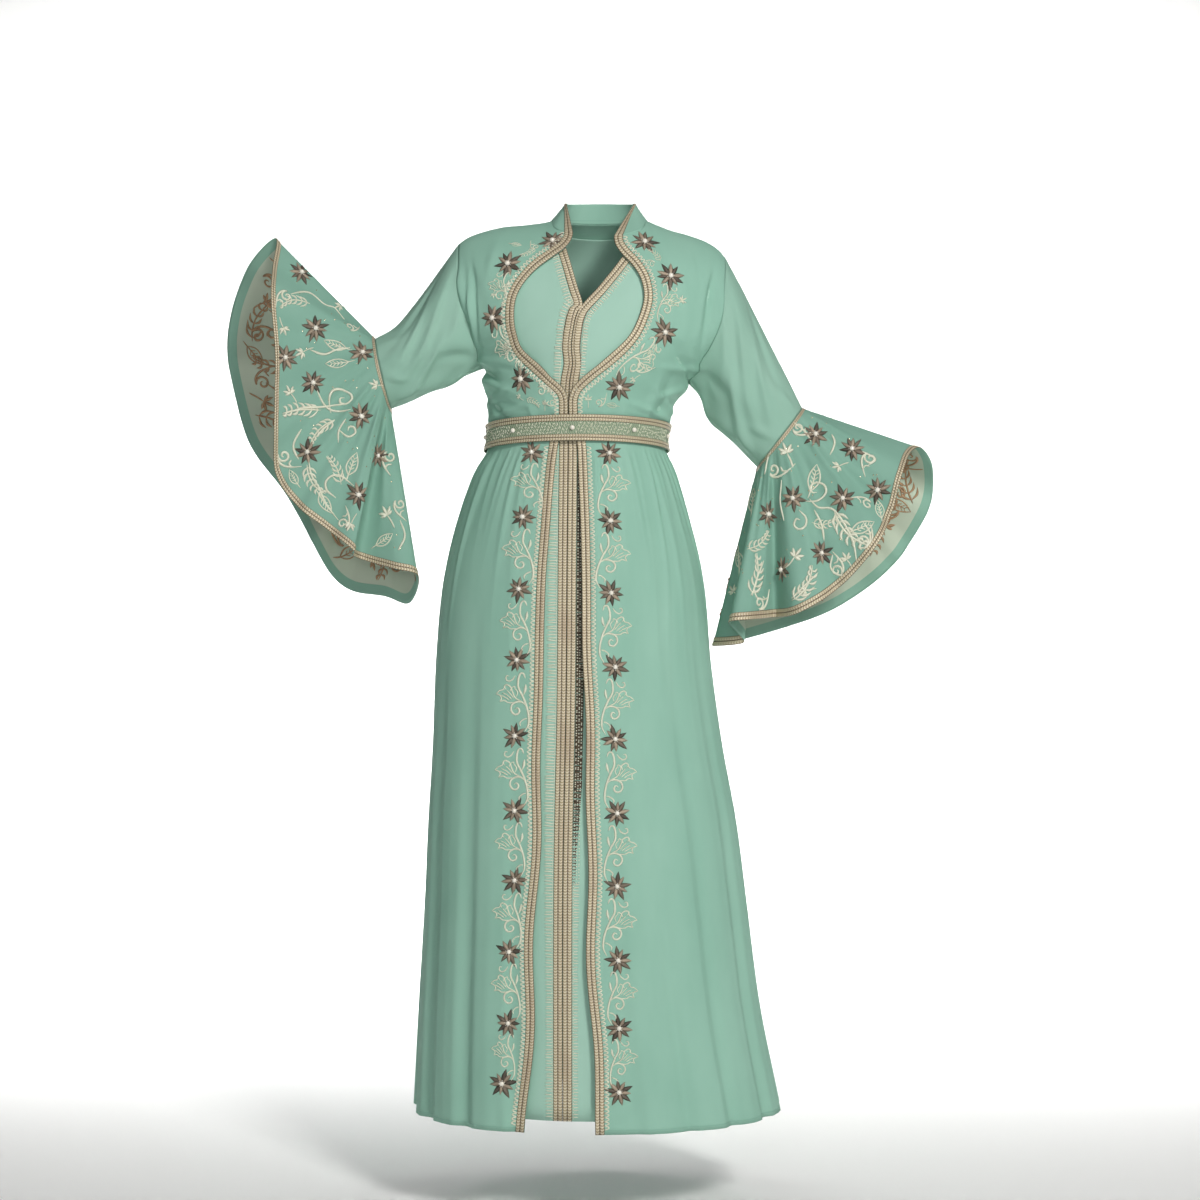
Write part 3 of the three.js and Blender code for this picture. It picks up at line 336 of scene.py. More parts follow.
# Pearls: warm and white patches under a clear coat.
def pearlMaterial():
    look = pearlFinish
    f = Finish("pearl")
    speck = f.noise(f.place(), 300, 1)
    f.set(Base_Color=f.mix(speck, look["warm"], look["white"]), Roughness=(speck * 0.1 + look["rough"]))
    f.set(Coat_Weight=look["coat"], Coat_Roughness=look["coatRough"], Specular_IOR_Level=look["shine"])
    return f.material


# Sequins: two tones of gold metal.
def sequinMaterial():
    look = sequinFinish
    f = Finish("sequin")
    speck = f.noise(f.place(), 90, 1)
    f.set(Base_Color=f.mix(speck, look["gold"], look["pale"]))
    f.set(Roughness=look["rough"], Metallic=look["metal"])
    return f.material


# The floor: nearly one tone, with faint cloudy patches.
def floorMaterial():
    f = Finish("floor")
    speck = f.noise(f.place(), 3, 2)
    f.set(Base_Color=f.mix(speck * studio["patches"], studio["colour"], studio["patchColour"]))
    f.set(Roughness=studio["rough"])
    return f.material


# Meshes

# A mesh from a list of points and quads, with its cut coordinates as a UV map in metres.
def addMesh(name, points, quads, cut, material, tone=None):
    mesh = bpy.data.meshes.new(name)
    mesh.from_pydata((points * mm).tolist(), [], quads.tolist())
    layer = mesh.uv_layers.new(name="cut")
    corners = np.empty(len(mesh.loops), dtype=np.int32)
    mesh.loops.foreach_get("vertex_index", corners)
    layer.data.foreach_set("uv", cut[corners].astype(np.float32).ravel())
    mesh.polygons.foreach_set("use_smooth", np.ones(len(mesh.polygons), dtype=bool))
    if tone is not None:
        mesh.attributes.new("tone", "FLOAT", "POINT").data.foreach_set("value", tone.astype(np.float32))
    mesh.materials.append(material)
    mesh.update()
    piece = bpy.data.objects.new(name, mesh)
    bpy.context.collection.objects.link(piece)
    return piece


# The quads of a grid whose points are numbered row by row.
def gridQuads(rows, columns, wrap=False):
    r, c = np.meshgrid(np.arange(rows - 1), np.arange(columns if wrap else columns - 1), indexing="ij")
    d, here, below = (c + 1) % columns, r * columns, (r + 1) * columns
    return np.stack([here + c, below + c, below + d, here + d], -1).reshape(-1, 4)


# Unit normals of a grid: across the rows by along the columns, turned to face the given way.
def gridNormals(points, outward, wrap=False):
    if wrap:
        across = np.roll(points, -1, 1) - np.roll(points, 1, 1)
    else:
        across = np.gradient(points, axis=1)
    normals = np.cross(across, np.gradient(points, axis=0))
    normals /= np.maximum(np.linalg.norm(normals, axis=-1, keepdims=True), 1e-9)
    return normals * np.sign((normals * outward).sum())


# The running length along a line of points, or down each column of a grid, from 0.
def runningLength(points):
    step = np.linalg.norm(np.diff(points, axis=0), axis=-1)
    return np.concatenate([0 * step[:1], np.cumsum(step, 0)])


# Cut coordinates of a grid: the running length across the middle row and down each column.
def cutOf(points):
    v = runningLength(points)
    u = np.broadcast_to(runningLength(points[len(points) // 2]), v.shape)
    return np.stack([u, v], -1) * mm


# A cloth panel: a grid of points as one layer, with its wall from Solidify, inwards. A tube's seam
# is doubled for its cut coordinates, then welded. Each point also keeps its distance from the hem.
def clothPiece(name, points, outward, material, wrap=False, wall=0.9, inside=None):
    normals = gridNormals(points, outward, wrap)
    if wrap:
        points, normals = (np.concatenate([part, part[:, :1]], 1) for part in (points, normals))
    cut = cutOf(points)
    toHem = (cut[-1, :, 1] - cut[..., 1]).reshape(-1)
    quads = gridQuads(*points.shape[:2])
    flat = points.reshape(-1, 3)
    face = np.cross(flat[quads[:, 2]] - flat[quads[:, 0]], flat[quads[:, 3]] - flat[quads[:, 1]])
    if (face * normals.reshape(-1, 3)[quads[:, 0]]).sum() < 0:
        quads = quads[:, ::-1]
    piece = addMesh(name, flat, quads, cut.reshape(-1, 2), material, toHem)
    if wrap:
        weld(piece, False)
    solid = piece.modifiers.new("wall", "SOLIDIFY")
    solid.thickness = wall * mm
    solid.offset = -1
    if inside is not None:
        piece.data.materials.append(inside)
        solid.material_offset = 1
    return piece


trimFoot = 0.08  # how far a trim's foot stands off the cloth
weldWithin = 0.000004  # metres


# A trim on a grid of points, whose rows go along it and columns across: closed behind, and at both
# ends unless it goes round. Its top is raised by a height for each column.
def trimPiece(name, points, normals, top, material, goesRound=False):
    rows, width = points.shape[:2]
    loop = np.concatenate([points + normals * top[:, None], (points + normals * trimFoot)[:, ::-1]], 1)
    run = runningLength(points[:, width // 2]) * mm
    u = np.linspace(0, 1, width)
    cut = np.stack(np.broadcast_arrays(np.concatenate([u, u[::-1]])[None], run[:, None]), -1)
    quads = gridQuads(rows, 2 * width, True)
    if not goesRound:
        i = np.arange(width - 1)
        cap = np.stack([i, i + 1, 2 * width - 2 - i, 2 * width - 1 - i], -1)
        quads = np.concatenate([quads, cap, cap + (rows - 1) * 2 * width])
    piece = addMesh(name, loop.reshape(-1, 3), quads, cut.reshape(-1, 2), material)
    weld(piece, True)
    return piece


# Merges doubled points, and on a closed piece turns all faces outwards.
def weld(piece, closed):
    work = bmesh.new()
    work.from_mesh(piece.data)
    bmesh.ops.remove_doubles(work, verts=work.verts, dist=weldWithin)
    if closed:
        bmesh.ops.recalc_face_normals(work, faces=work.faces)
    work.to_mesh(piece.data)
    work.free()


# Curves through tables

# A smooth cubic through the values of a table at its keys, read at any places.
def curve(keys, values, at):
    keys, values, at = np.asarray(keys, float), np.asarray(values, float), np.asarray(at, float)
    if keys[-1] < keys[0]:
        keys, at = -keys, -at
    last = len(keys) - 1
    i = np.clip(np.searchsorted(keys, at) - 1, 0, last - 1)
    before, after = np.maximum(i - 1, 0), np.minimum(i + 2, last)
    span = keys[i + 1] - keys[i]
    s = np.clip((at - keys[i]) / span, 0, 1)
    leave = (values[i + 1] - values[before]) / (keys[i + 1] - keys[before]) * span
    arrive = (values[after] - values[i]) / (keys[after] - keys[i]) * span
    rise = values[i + 1] - values[i]
    return values[i] + s * (leave + s * (3 * rise - 2 * leave - arrive + s * (leave + arrive - 2 * rise)))


# The same for keys in degrees that go once round: the table's ends are repeated a turn away.
def roundCurve(keys, values, at):
    keys, values = np.asarray(keys, float), np.asarray(values, float)
    keys = np.concatenate([[keys[-1] - 360], keys, keys[:2] + 360])
    return curve(keys, np.concatenate([values[-1:], values, values[:2]]), at)


# A grid read at fractional rows, by the same kind of cubic through its rows.
def atRows(grid, at):
    last = len(grid) - 1
    i = np.clip(np.floor(at).astype(int), 0, last - 1)
    s = (at - i).reshape(-1, *[1] * (grid.ndim - 1))
    before, after = np.maximum(i - 1, 0), np.minimum(i + 2, last)
    leave = (grid[i + 1] - grid[before]) / (i + 1 - before).reshape(s.shape)
    arrive = (grid[after] - grid[i]) / (after - i).reshape(s.shape)
    rise = grid[i + 1] - grid[i]
    return grid[i] + s * (leave + s * (3 * rise - 2 * leave - arrive + s * (leave + arrive - 2 * rise)))


# A grid read at fractional rows, then at fractional columns.
def finer(grid, rows, columns):
    return np.swapaxes(atRows(np.swapaxes(atRows(grid, rows), 0, 1), columns), 0, 1)


# Even steps from one value to another, both ends included.
def steps(first, last, count):
    return np.linspace(first, last, count + 1)


# The worn form

sectionTable = np.array([  # z, right side, left side, front, back
    (60, -263, 236, 62, 66), (0, -263, 236, 76, 84), (-50, -262, 237, 95, 97), (-100, -257, 230, 112, 106),
    (-150, -231, 214, 123, 109), (-180, -209, 192, 126, 109), (-206, -189, 166, 124, 107),
    (-230, -187, 144, 121, 104), (-256, -182, 124, 116, 101), (-288, -178, 112, 111, 97),
    (-316, -177, 105, 109, 96), (-340, -181, 106, 110, 98), (-352, -187, 110, 112, 101),
    (-384, -203, 123, 119, 112), (-448, -226, 143, 131, 134), (-512, -243, 160, 140, 148),
    (-576, -254, 170, 147, 156), (-672, -262, 177, 156, 164), (-800, -267, 194, 167, 173),
    (-928, -274, 216, 179, 182), (-1056, -278, 231, 191, 191), (-1216, -285, 250, 205, 201),
    (-1385, -291, 281, 220, 213)], float)
shoulderTable = np.array([  # x, z
    (-263, -64), (-240, -21), (-227, -8), (-208, 5), (-160, 19), (-120, 23), (-80, 29), (-40, 45), (0, 52),
    (40, 45), (77, 29), (112, 15), (144, 6), (176, -7), (198, -26), (236, -90)], float)
layers = {  # how far each layer lies inside the form: z, side, front, back
    "gown": {"lower": 0, "ease": np.array([(60, 0, 0, 0), (-1385, 0, 0, 0)], float)},
    "belt": {"lower": 0, "ease": np.array([(60, -5, -5, -5), (-1385, -5, -5, -5)], float)},
    "dress": {"lower": 6.5, "ease": np.array([
        (60, 5.5, 5.5, 5.5), (-190, 5.5, 5, 5.5), (-250, 4.6, 4.2, 4.6), (-316, 4.4, 3.9, 4.4),
        (-340, 5.5, 4.4, 5.5), (-370, 8, 5.5, 8), (-512, 15, 7.5, 14), (-800, 22, 10, 20),
        (-1385, 30, 13, 28)], float)},
}
sides = {  # the sign along X, and for each layer its shoulder tip, neck point and armpit
    "right": {"sign": -1, "gown": {"tip": -227, "neck": -80, "armpit": -206},
              "dress": {"tip": -215, "neck": -84, "armpit": -214}},
    "left": {"sign": 1, "gown": {"tip": 198, "neck": 77, "armpit": -230},
             "dress": {"tip": 185, "neck": 81, "armpit": -238}},
}
shoulderRoll = 75
waist = -316
gownHem = -1385
dressHem = -1368


# A level section of a layer: its centre, half its width, and its depth in front and behind.
def section(layer, z):
    ease = layers[layer]["ease"]
    side, front, back = (curve(ease[:, 0], ease[:, i], z) for i in (1, 2, 3))
    right, left, fore, rear = (curve(sectionTable[:, 0], sectionTable[:, i], z) for i in (1, 2, 3, 4))
    right, left = right + side, left - side
    return (right + left) / 2, (left - right) / 2, fore - front, rear - back


# The height of the shoulder line at x.
def shoulderZ(layer, x):
    return curve(shoulderTable[:, 0], shoulderTable[:, 1], x) - layers[layer]["lower"]


# A point of the worn form: turn 0 is the front centre, 90 the left side, 180 the back. Near the
# shoulder line the depth rolls off as a quarter circle.
def formPoint(layer, turn, z, out=0.0):
    turn, z = np.broadcast_arrays(np.asarray(turn, float), np.asarray(z, float))
    centre, half, front, back = section(layer, z)
    angle = np.radians(turn)
    x = centre + (half + out) * np.sin(angle)
    below = np.clip((shoulderZ(layer, x) - z) / shoulderRoll, 0, 1)
    depth = np.where(np.cos(angle) > 0, front, back) + out
    return np.stack([x, -depth * np.cos(angle) * np.sqrt(1 - (1 - below) ** 2), z], -1)


# The turn of the front point at x and z: the arc sine of its distance from the section's centre.
def turnAt(layer, x, z):
    centre, half, _, _ = section(layer, z)
    return np.degrees(np.arcsin(np.clip((x - centre) / half, -1, 1)))


# An angle brought between -180 and 180 degrees.
def wrapped(turn):
    return (turn + 180) % 360 - 180


# Folds

skirtFolds = np.array([  # turn, start, height, spread, drift
    (-33, -560, 8, 6, -3), (-56, -620, 9, 7, 2), (-79, -520, 8, 7, 4), (19, -700, 6, 5, 2),
    (34, -540, 9, 6, 5), (52, -600, 10, 6, 4), (74, -500, 9, 7, 2), (104, -560, 10, 7, -2),
    (127, -620, 11, 6, 3), (146, -520, 9, 6, -2), (169, -580, 11, 7, 2), (193, -540, 10, 6, -3),
    (214, -640, 9, 6, 2), (236, -520, 11, 7, -2), (258, -600, 9, 6, 3)], float)
gathers = {"count": 62, "unevenness": 0.33, "height": (1.6, 4.8), "spread": (1.2, 2.2), "reach": (70, 290),
           "sway": 2.2, "below": 20, "rise": 26}
fineFolds = np.array([  # the same, of narrow folds between the main ones
    (-28, -700, 3.2, 2.2, -1), (-39, -560, 3.6, 2.4, -2), (-50, -760, 3.4, 2.2, 1),
    (-62, -600, 4, 2.4, 2), (-72, -680, 4.2, 2.6, 2), (15, -800, 2.8, 2.2, 1), (24, -640, 3.4, 2.4, 3),
    (31, -860, 3.2, 2.2, 2), (39, -600, 3.8, 2.4, 4), (47, -720, 3.6, 2.4, 3), (58, -560, 4.2, 2.6, 4),
    (68, -680, 4.2, 2.4, 2), (80, -600, 4.4, 2.6, 2), (98, -700, 4.2, 2.6, 1), (112, -600, 4, 2.4, 2),
    (121, -740, 4.2, 2.4, 0), (133, -600, 4, 2.6, -1), (151, -700, 4.2, 2.4, 1), (163, -600, 4, 2.4, 2),
    (176, -760, 4.4, 2.6, 1), (187, -620, 4, 2.4, -2), (199, -700, 4.2, 2.4, -1), (209, -580, 4, 2.4, 1),
    (221, -720, 4.2, 2.6, 2), (231, -620, 4, 2.4, -2), (243, -700, 4.2, 2.4, 1), (253, -600, 4, 2.6, 2),
    (264, -700, 4, 2.4, 1)], float)
softWaves = np.array([  # turn, start, height, spread, drift, of low long troughs between the folds
    (-45, -420, -3.4, 4, 1), (-66, -470, -3.2, 4, 2), (-25, -640, -2.6, 3, -1), (27, -520, -3, 4, 2),
    (43, -430, -3.6, 4, 3), (63, -460, -3.4, 4, 2), (90, -440, -4, 5, 0), (116, -500, -4, 5, 1),
    (137, -430, -4, 4, -1), (158, -470, -4, 5, 1), (181, -440, -4.4, 5, -1), (203, -500, -4, 4, 1),
    (226, -450, -4, 5, -2), (247, -480, -4, 5, 1), (-84, -430, -3, 4, 1)], float)


# Long folds: each is a soft ridge that starts at its height and grows down to the hem.
def longFolds(table, turn, z):
    grown = np.clip((z[..., None] - table[:, 1]) / (gownHem - table[:, 1]), 0, 1)
    aside = wrapped(turn[..., None] - table[:, 0] - table[:, 4] * grown)
    return (table[:, 2] * grown * np.exp(-(aside / table[:, 3]) ** 2)).sum(-1)


# Gathers below the belt: ridges of uneven spacing, height and length that fade out downwards.
def makeGathers():
    count = gathers["count"]
    uneven = gathers["unevenness"]
    turn = (np.arange(count) + chance.uniform(-uneven, uneven, count)) * 360 / count
    drawn = [chance.uniform(*gathers[part], count) for part in ("height", "spread", "reach")]
    return np.stack([turn, *drawn, chance.uniform(-1, 1, count) * gathers["sway"]], -1)


gatherTable = makeGathers()


# The height of the gathers: the sum of a bell across each, times its fading with depth.
def gatherLift(turn, z):
    depth = np.clip((waist - gathers["below"] - z), 0, None)[..., None]
    rise = np.clip(depth / gathers["rise"], 0, 1)
    fade = np.exp(-(depth / gatherTable[:, 3]) ** 1.4) * rise
    aside = wrapped(turn[..., None] - gatherTable[:, 0] - gatherTable[:, 4] * depth / 100)
    return (gatherTable[:, 1] * fade * np.exp(-(aside / gatherTable[:, 2]) ** 2)).sum(-1)


# Creases of the bodice, each from one place to another: x, z, x, z, height, spread. A negative
# height is a trough. The same table serves the back.
bodiceCreases = np.array([
    (-196, -196, -120, -208, 6.4, 6), (-198, -180, -140, -168, -2.6, 6), (-186, -226, -138, -250, 5.4, 6),
    (-182, -252, -120, -280, -2.4, 6), (-176, -290, -110, -268, 4.6, 5), (-176, -262, -128, -232, 3.6, 5),
    (-226, -60, -196, -150, 6, 8), (-212, -40, -182, -120, -2.2, 8), (-160, 6, -176, -70, 3, 8),
    (172, -214, 96, -214, 6.2, 6), (160, -190, 108, -176, -2.6, 6), (142, -238, 84, -262, 5.4, 6),
    (126, -262, 70, -288, -2.4, 6), (112, -292, 52, -270, 4.4, 5), (120, -282, 78, -240, 3.6, 5),
    (206, -76, 176, -168, 6.4, 8), (190, -50, 158, -130, -2.2, 8), (134, -8, 150, -90, 3.4, 8),
    (-60, -300, -84, -262, 2.6, 4), (30, -302, 44, -262, 2.6, 4), (-100, -304, -112, -270, 2.6, 4),
    (0, -304, 10, -276, 2.4, 4), (70, -304, 76, -276, 2.4, 4),
    # the deeper ones at the armpits and above the belt
    (116, -182, 150, -236, -7, 4.5), (128, -168, 152, -206, 4, 5), (112, -226, 92, -286, -5, 4.5),
    (96, -222, 74, -286, 3.6, 5), (-178, -258, -148, -292, -5, 4.5), (-192, -206, -158, -236, -6.5, 4.5),
    (-186, -196, -150, -218, 4, 5),
    (-216, -40, -203, -160, -5, 4), (-204, -50, -192, -176, -4.4, 4), (-210, -60, -198, -170, 3.4, 4),
    (182, -60, 160, -176, -4.4, 4.5), (172, -50, 150, -166, 3, 5)], float)
bodice = {"creaseFactor": 1.05, "creaseMiddle": 0.45, "creaseReach": 0.5, "calmAboveWaist": 30,
          "calmBelowShoulder": 60}


# A ridge or trough along a line: a bell across it, and rising and falling along it.
def creaseLift(table, x, z):
    dx, dz = table[:, 2] - table[:, 0], table[:, 3] - table[:, 1]
    length = np.hypot(dx, dz)
    px, pz = x[..., None] - table[:, 0], z[..., None] - table[:, 1]
    t = (px * dx + pz * dz) / length ** 2
    off = (px * dz - pz * dx) / length
    body = np.exp(-((t - bodice["creaseMiddle"]) / bodice["creaseReach"]) ** 2)
    return (table[:, 4] * body * np.exp(-(off / table[:, 5]) ** 2)).sum(-1)


# The gown: its form, lifted by the folds and gathers below the waist and by creases above it.
def gownFace(turn, z):
    turn, z = np.broadcast_arrays(np.asarray(turn, float), np.asarray(z, float))
    x = formPoint("gown", turn, z)[..., 0]
    folds = sum(longFolds(table, turn, z) for table in (skirtFolds, softWaves, fineFolds))
    calm = np.clip((z - waist) / bodice["calmAboveWaist"], 0, 1)
    calm = calm * np.clip((shoulderZ("gown", x) - z) / bodice["calmBelowShoulder"], 0, 1)
    creases = creaseLift(bodiceCreases, x, z) * calm * bodice["creaseFactor"]
    return formPoint("gown", turn, z, np.where(z < waist, folds + gatherLift(turn, z), creases))


# The dress is the plain form of its layer.
def dressFace(turn, z):
    return formPoint("dress", turn, z)


# Places of the bodices and skirts, as turn and height

# How each layer's upper part is cut: the steps of its lines, how far its armhole lies inside the
# table of turns, how the back of its neck rises, and the fine steps for each plain one.
cuts = {
    "gown": {"holeSteps": 10, "sideSteps": 6, "shoulderSteps": 5, "neckSteps": 3, "backNeckSteps": 6,
             "holeLess": 0, "backNeckRise": 3, "fine": 6, "backFine": 6},
    "dress": {"holeSteps": 8, "sideSteps": 4, "shoulderSteps": 4, "neckSteps": 2, "backNeckSteps": 4,
              "holeLess": 3, "backNeckRise": -12, "fine": 4, "backFine": 5},
}
skirt = {"rows": 96, "frontColumns": 104, "backColumns": 210}
dressRows = 44
braidSteps = 4
blendRows = 8
holeTurns = np.array([(0, 58.5), (36, 58.5), (72, 58), (108, 60.5), (144, 72), (180, 90)], float)
frontEdges = {  # x and z of each row, from the throat notch down to the waist
    "gown": {
        "right": np.array([
            (-42.5, 2), (-43.2, -4), (-47, -14), (-57, -26), (-77, -41), (-102, -61), (-123.5, -88),
            (-133.5, -120), (-131.5, -155), (-116, -190), (-81, -224), (-57.5, -246), (-50.5, -262),
            (-49.8, -277), (-49.8, -290), (-49.8, -303), (-49.8, -316)]),
        "left": np.array([
            (22, -4), (22.3, -11), (25.7, -22), (35.5, -36), (51, -53), (64, -76), (68.3, -105),
            (59.5, -138), (40, -172), (3, -206), (-35.5, -238), (-45, -252), (-48.6, -265),
            (-48.6, -278), (-48.6, -290), (-48.6, -303), (-48.6, -316)]),
    },
    "dress": {
        "right": np.array([
            (-60, 3), (-59, -2), (-56, -13), (-50.5, -32), (-43, -58), (-35, -87), (-27, -115),
            (-35, -128), (-41, -150), (-44.5, -190), (-46.5, -230), (-48.5, -270), (-49.5, -316)]),
        "left": np.array([
            (50, -11), (48, -16), (42, -27), (30, -45), (13, -68), (-6, -92), (-26.6, -115),
            (-34.6, -128), (-40.6, -150), (-44.1, -190), (-46.1, -230), (-48.1, -270), (-49.1, -316)]),
    },
}
skirtEdges = np.array([  # z, right, left
    (-316, -62, -38), (-340, -66, -35), (-420, -75, -32), (-514, -82, -30), (-607, -84, -26),
    (-730, -89, -24.5), (-914, -91.5, -20.5), (-1112, -98.5, -18), (-1279, -105, -12),
    (-1385, -114, -5)], float)
waver = {"grownBy": 500, "short": 2.4, "shortLength": 41, "long": 1.6, "longLength": 67}  # of those edges
dressCentre = np.array([(-316, -49.5), (-500, -51), (-730, -52.5), (-1000, -57), (-1385, -57)], float)
dressGap = {"right": 0, "left": 0.4}
frontBraid = 14


# Places from points seen from the front: x becomes the turn there.
def placeOf(layer, xz):
    return np.stack([turnAt(layer, xz[..., 0], xz[..., 1]), xz[..., 1]], -1)


# Even steps along x from the neck point to the shoulder tip, on the shoulder line.
def shoulderSeam(layer, name):
    place = sides[name][layer]
    x = steps(place["neck"], place["tip"], cuts[layer]["shoulderSteps"])
    return np.stack([x, shoulderZ(layer, x)], -1)


# A quarter ellipse from the notch to the neck point. Its second point is at the braid's width.
def neckCurve(notch, neck, width, count):
    first = np.arcsin(width / abs(neck[0] - notch[0]))
    angle = np.concatenate([[0], np.linspace(first, np.pi / 2, count)])
    return np.stack([notch[0] + (neck[0] - notch[0]) * np.sin(angle),
                     notch[1] + (neck[1] - notch[1]) * (1 - np.cos(angle))], -1)


# The armhole, half a cosine wave from the shoulder tip down to the armpit with its turns from the
# table, then the side seam down to the waist.
def outerEdge(layer, name):
    sign, place, cut = sides[name]["sign"], sides[name][layer], cuts[layer]
    tipZ = shoulderZ(layer, place["tip"])
    around = steps(0, 180, cut["holeSteps"])[1:]
    turn = sign * (curve(holeTurns[:, 0], holeTurns[:, 1], around) - cut["holeLess"] * (around < 180))
    hole = np.stack([turn, tipZ + (place["armpit"] - tipZ) * (1 - np.cos(np.radians(around))) / 2], -1)
    down = steps(place["armpit"], waist, cut["sideSteps"])[1:]
    seam = np.stack([np.full(len(down), sign * 90.0), down], -1)
    return np.concatenate([[[turnAt(layer, place["tip"], tipZ), tipZ]], hole, seam])


# Rows between two lines. The shape of the neck and shoulder fades out over the first rows.
def blended(start, end, top):
    u = np.linspace(0, 1, len(top))[:, None]
    fade = (1 + np.cos(np.pi * np.minimum(np.arange(len(start)) / blendRows, 1))) / 2
    level = start[0] + (end[0] - start[0]) * u
    return start[:, None] + (end - start)[:, None] * u + (top - level) * fade[:, None, None]


# A front: its edge, the line beside it at the braid's width, square to the edge, and rows from
# there to the armhole and side seam.
def frontPlaces(layer, name):
    edge, shoulder = frontEdges[layer][name], shoulderSeam(layer, name)
    neck = neckCurve(edge[0], shoulder[0], frontBraid, cuts[layer]["neckSteps"])
    top = placeOf(layer, np.concatenate([neck[1:], shoulder[1:]]))
    tangent = np.concatenate([edge[1:2] - edge[:1], edge[2:] - edge[:-2], edge[-1:] - edge[-2:-1]])
    tangent /= np.linalg.norm(tangent, axis=-1, keepdims=True)
    shift = np.stack([-tangent[:, 1], tangent[:, 0]], -1) * sides[name]["sign"] * frontBraid
    beside = placeOf(layer, edge + shift)
    beside[0] = top[0]
    rows = blended(beside, outerEdge(layer, name), top)
    return np.concatenate([placeOf(layer, edge)[:, None], rows], 1)


# A back: rows from one side to the other under the shoulders and the neck, which rises or dips
# by a sine.
def backPlaces(layer):
    cut = cuts[layer]
    right, left = (shoulderSeam(layer, name) for name in sides)
    angle = steps(0, 180, cut["backNeckSteps"])[1:-1]
    x = right[0, 0] + (left[0, 0] - right[0, 0]) * (1 - np.cos(np.radians(angle))) / 2
    level = right[0, 1] + (left[0, 1] - right[0, 1]) * angle / 180
    neck = np.stack([x, level + cut["backNeckRise"] * np.sin(np.radians(angle))], -1)
    top = placeOf(layer, np.concatenate([right[::-1], neck, left]))
    return blended(outerEdge(layer, "right"), outerEdge(layer, "left"), top)


# Puts the shoulder columns of a fine grid's first row back on the shoulder line, which the cubic
# misses a little. The shift fades out over the rows below, as the square of what is left of them.
def onShoulder(layer, grid, columns, rows):
    top = grid[0, columns]
    x = formPoint(layer, top[:, 0], top[:, 1])[:, 0]
    shift = placeOf(layer, np.stack([x, shoulderZ(layer, x)], -1)) - top
    grid[:rows, columns] += shift[None] * ((1 - np.arange(rows) / rows) ** 2)[:, None, None]
    return grid


# The fine grid of an upper front: even steps over its braid, then the layer's fine steps.
def upperFront(layer, name):
    places, cut, fine = frontPlaces(layer, name), cuts[layer], cuts[layer]["fine"]
    rows, last = len(places) - 1, places.shape[1] - 1
    columns = np.concatenate([steps(0, 1, braidSteps)[:-1], steps(1, last, (last - 1) * fine)])
    grid = finer(places, steps(0, rows, rows * fine), columns)
    return onShoulder(layer, grid, slice(braidSteps + (cut["neckSteps"] - 1) * fine, None), fine)


# The fine grid of an upper back, with both shoulders put back on their line.
def upperBack(layer):
    places, cut, fine = backPlaces(layer), cuts[layer], cuts[layer]["fine"]
    rows, last = len(places) - 1, places.shape[1] - 1
    grid = finer(places, steps(0, rows, rows * fine), steps(0, last, last * cut["backFine"]))
    shoulder = cut["shoulderSteps"] * cut["backFine"]
    for columns in (slice(0, shoulder + 1), slice(grid.shape[1] - 1 - shoulder, None)):
        grid = onShoulder(layer, grid, columns, fine)
    return grid


# The front edge of the skirt: the table's line, and two sines that grow below the waist.
def skirtEdge(name, z):
    plain = curve(skirtEdges[:, 0], skirtEdges[:, 1 if name == "right" else 2], z)
    grown = np.clip((waist - z) / waver["grownBy"], 0, 1)
    short = waver["short"] * np.sin(z / waver["shortLength"] + (name == "left"))
    return plain + grown * (short + waver["long"] * np.sin(z / waver["longLength"] + 2))


# The dress's centre line below the waist, where its halves meet.
def dressEdge(name, z):
    return curve(dressCentre[:, 0], dressCentre[:, 1], z) + dressGap[name]


# A lower front: even steps over its braid from the edge, then even steps to the side seam.
def lowerFront(layer, name, edge, z, count):
    sign = sides[name]["sign"]
    first, second = turnAt(layer, edge, z), turnAt(layer, edge + sign * frontBraid, z)
    strip = first + (second - first) * steps(0, 1, braidSteps)[:-1]
    turn = np.concatenate([strip, second + (sign * 90 - second) * steps(0, 1, count)], 1)
    return np.stack([turn, np.broadcast_to(z, turn.shape)], -1)


# Turns counted from the back centre instead of the front.
def fromBehind(grid):
    grid[..., 0] = 180 - grid[..., 0]
    return grid


# A skirt front: even rows from the waist to the hem, from its front edge to the side seam.
def skirtFrontGrid(name):
    z = steps(waist, gownHem, skirt["rows"])[:, None]
    return lowerFront("gown", name, skirtEdge(name, z), z, skirt["frontColumns"])


# The skirt's back: even rows and turns from the right side seam to the left one.
def skirtBackGrid():
    turn, z = np.meshgrid(steps(270, 90, skirt["backColumns"]), steps(waist, gownHem, skirt["rows"]))
    return np.stack([turn, z], -1)


# A dress front: its upper part, and even rows below the waist from the centre line to the side.
def dressFrontGrid(name):
    upper, z = upperFront("dress", name), steps(waist, dressHem, dressRows)[1:, None]
    lower = lowerFront("dress", name, dressEdge(name, z), z, upper.shape[1] - 1 - braidSteps)
    return np.concatenate([upper, lower])


# The dress's back: its upper part, and even rows and turns below the waist.
def dressBackGrid():
    upper = upperBack("dress")
    turn, z = np.meshgrid(steps(-90, 90, upper.shape[1] - 1), steps(waist, dressHem, dressRows)[1:])
    return fromBehind(np.concatenate([upper, np.stack([turn, z], -1)]))


# Sleeves

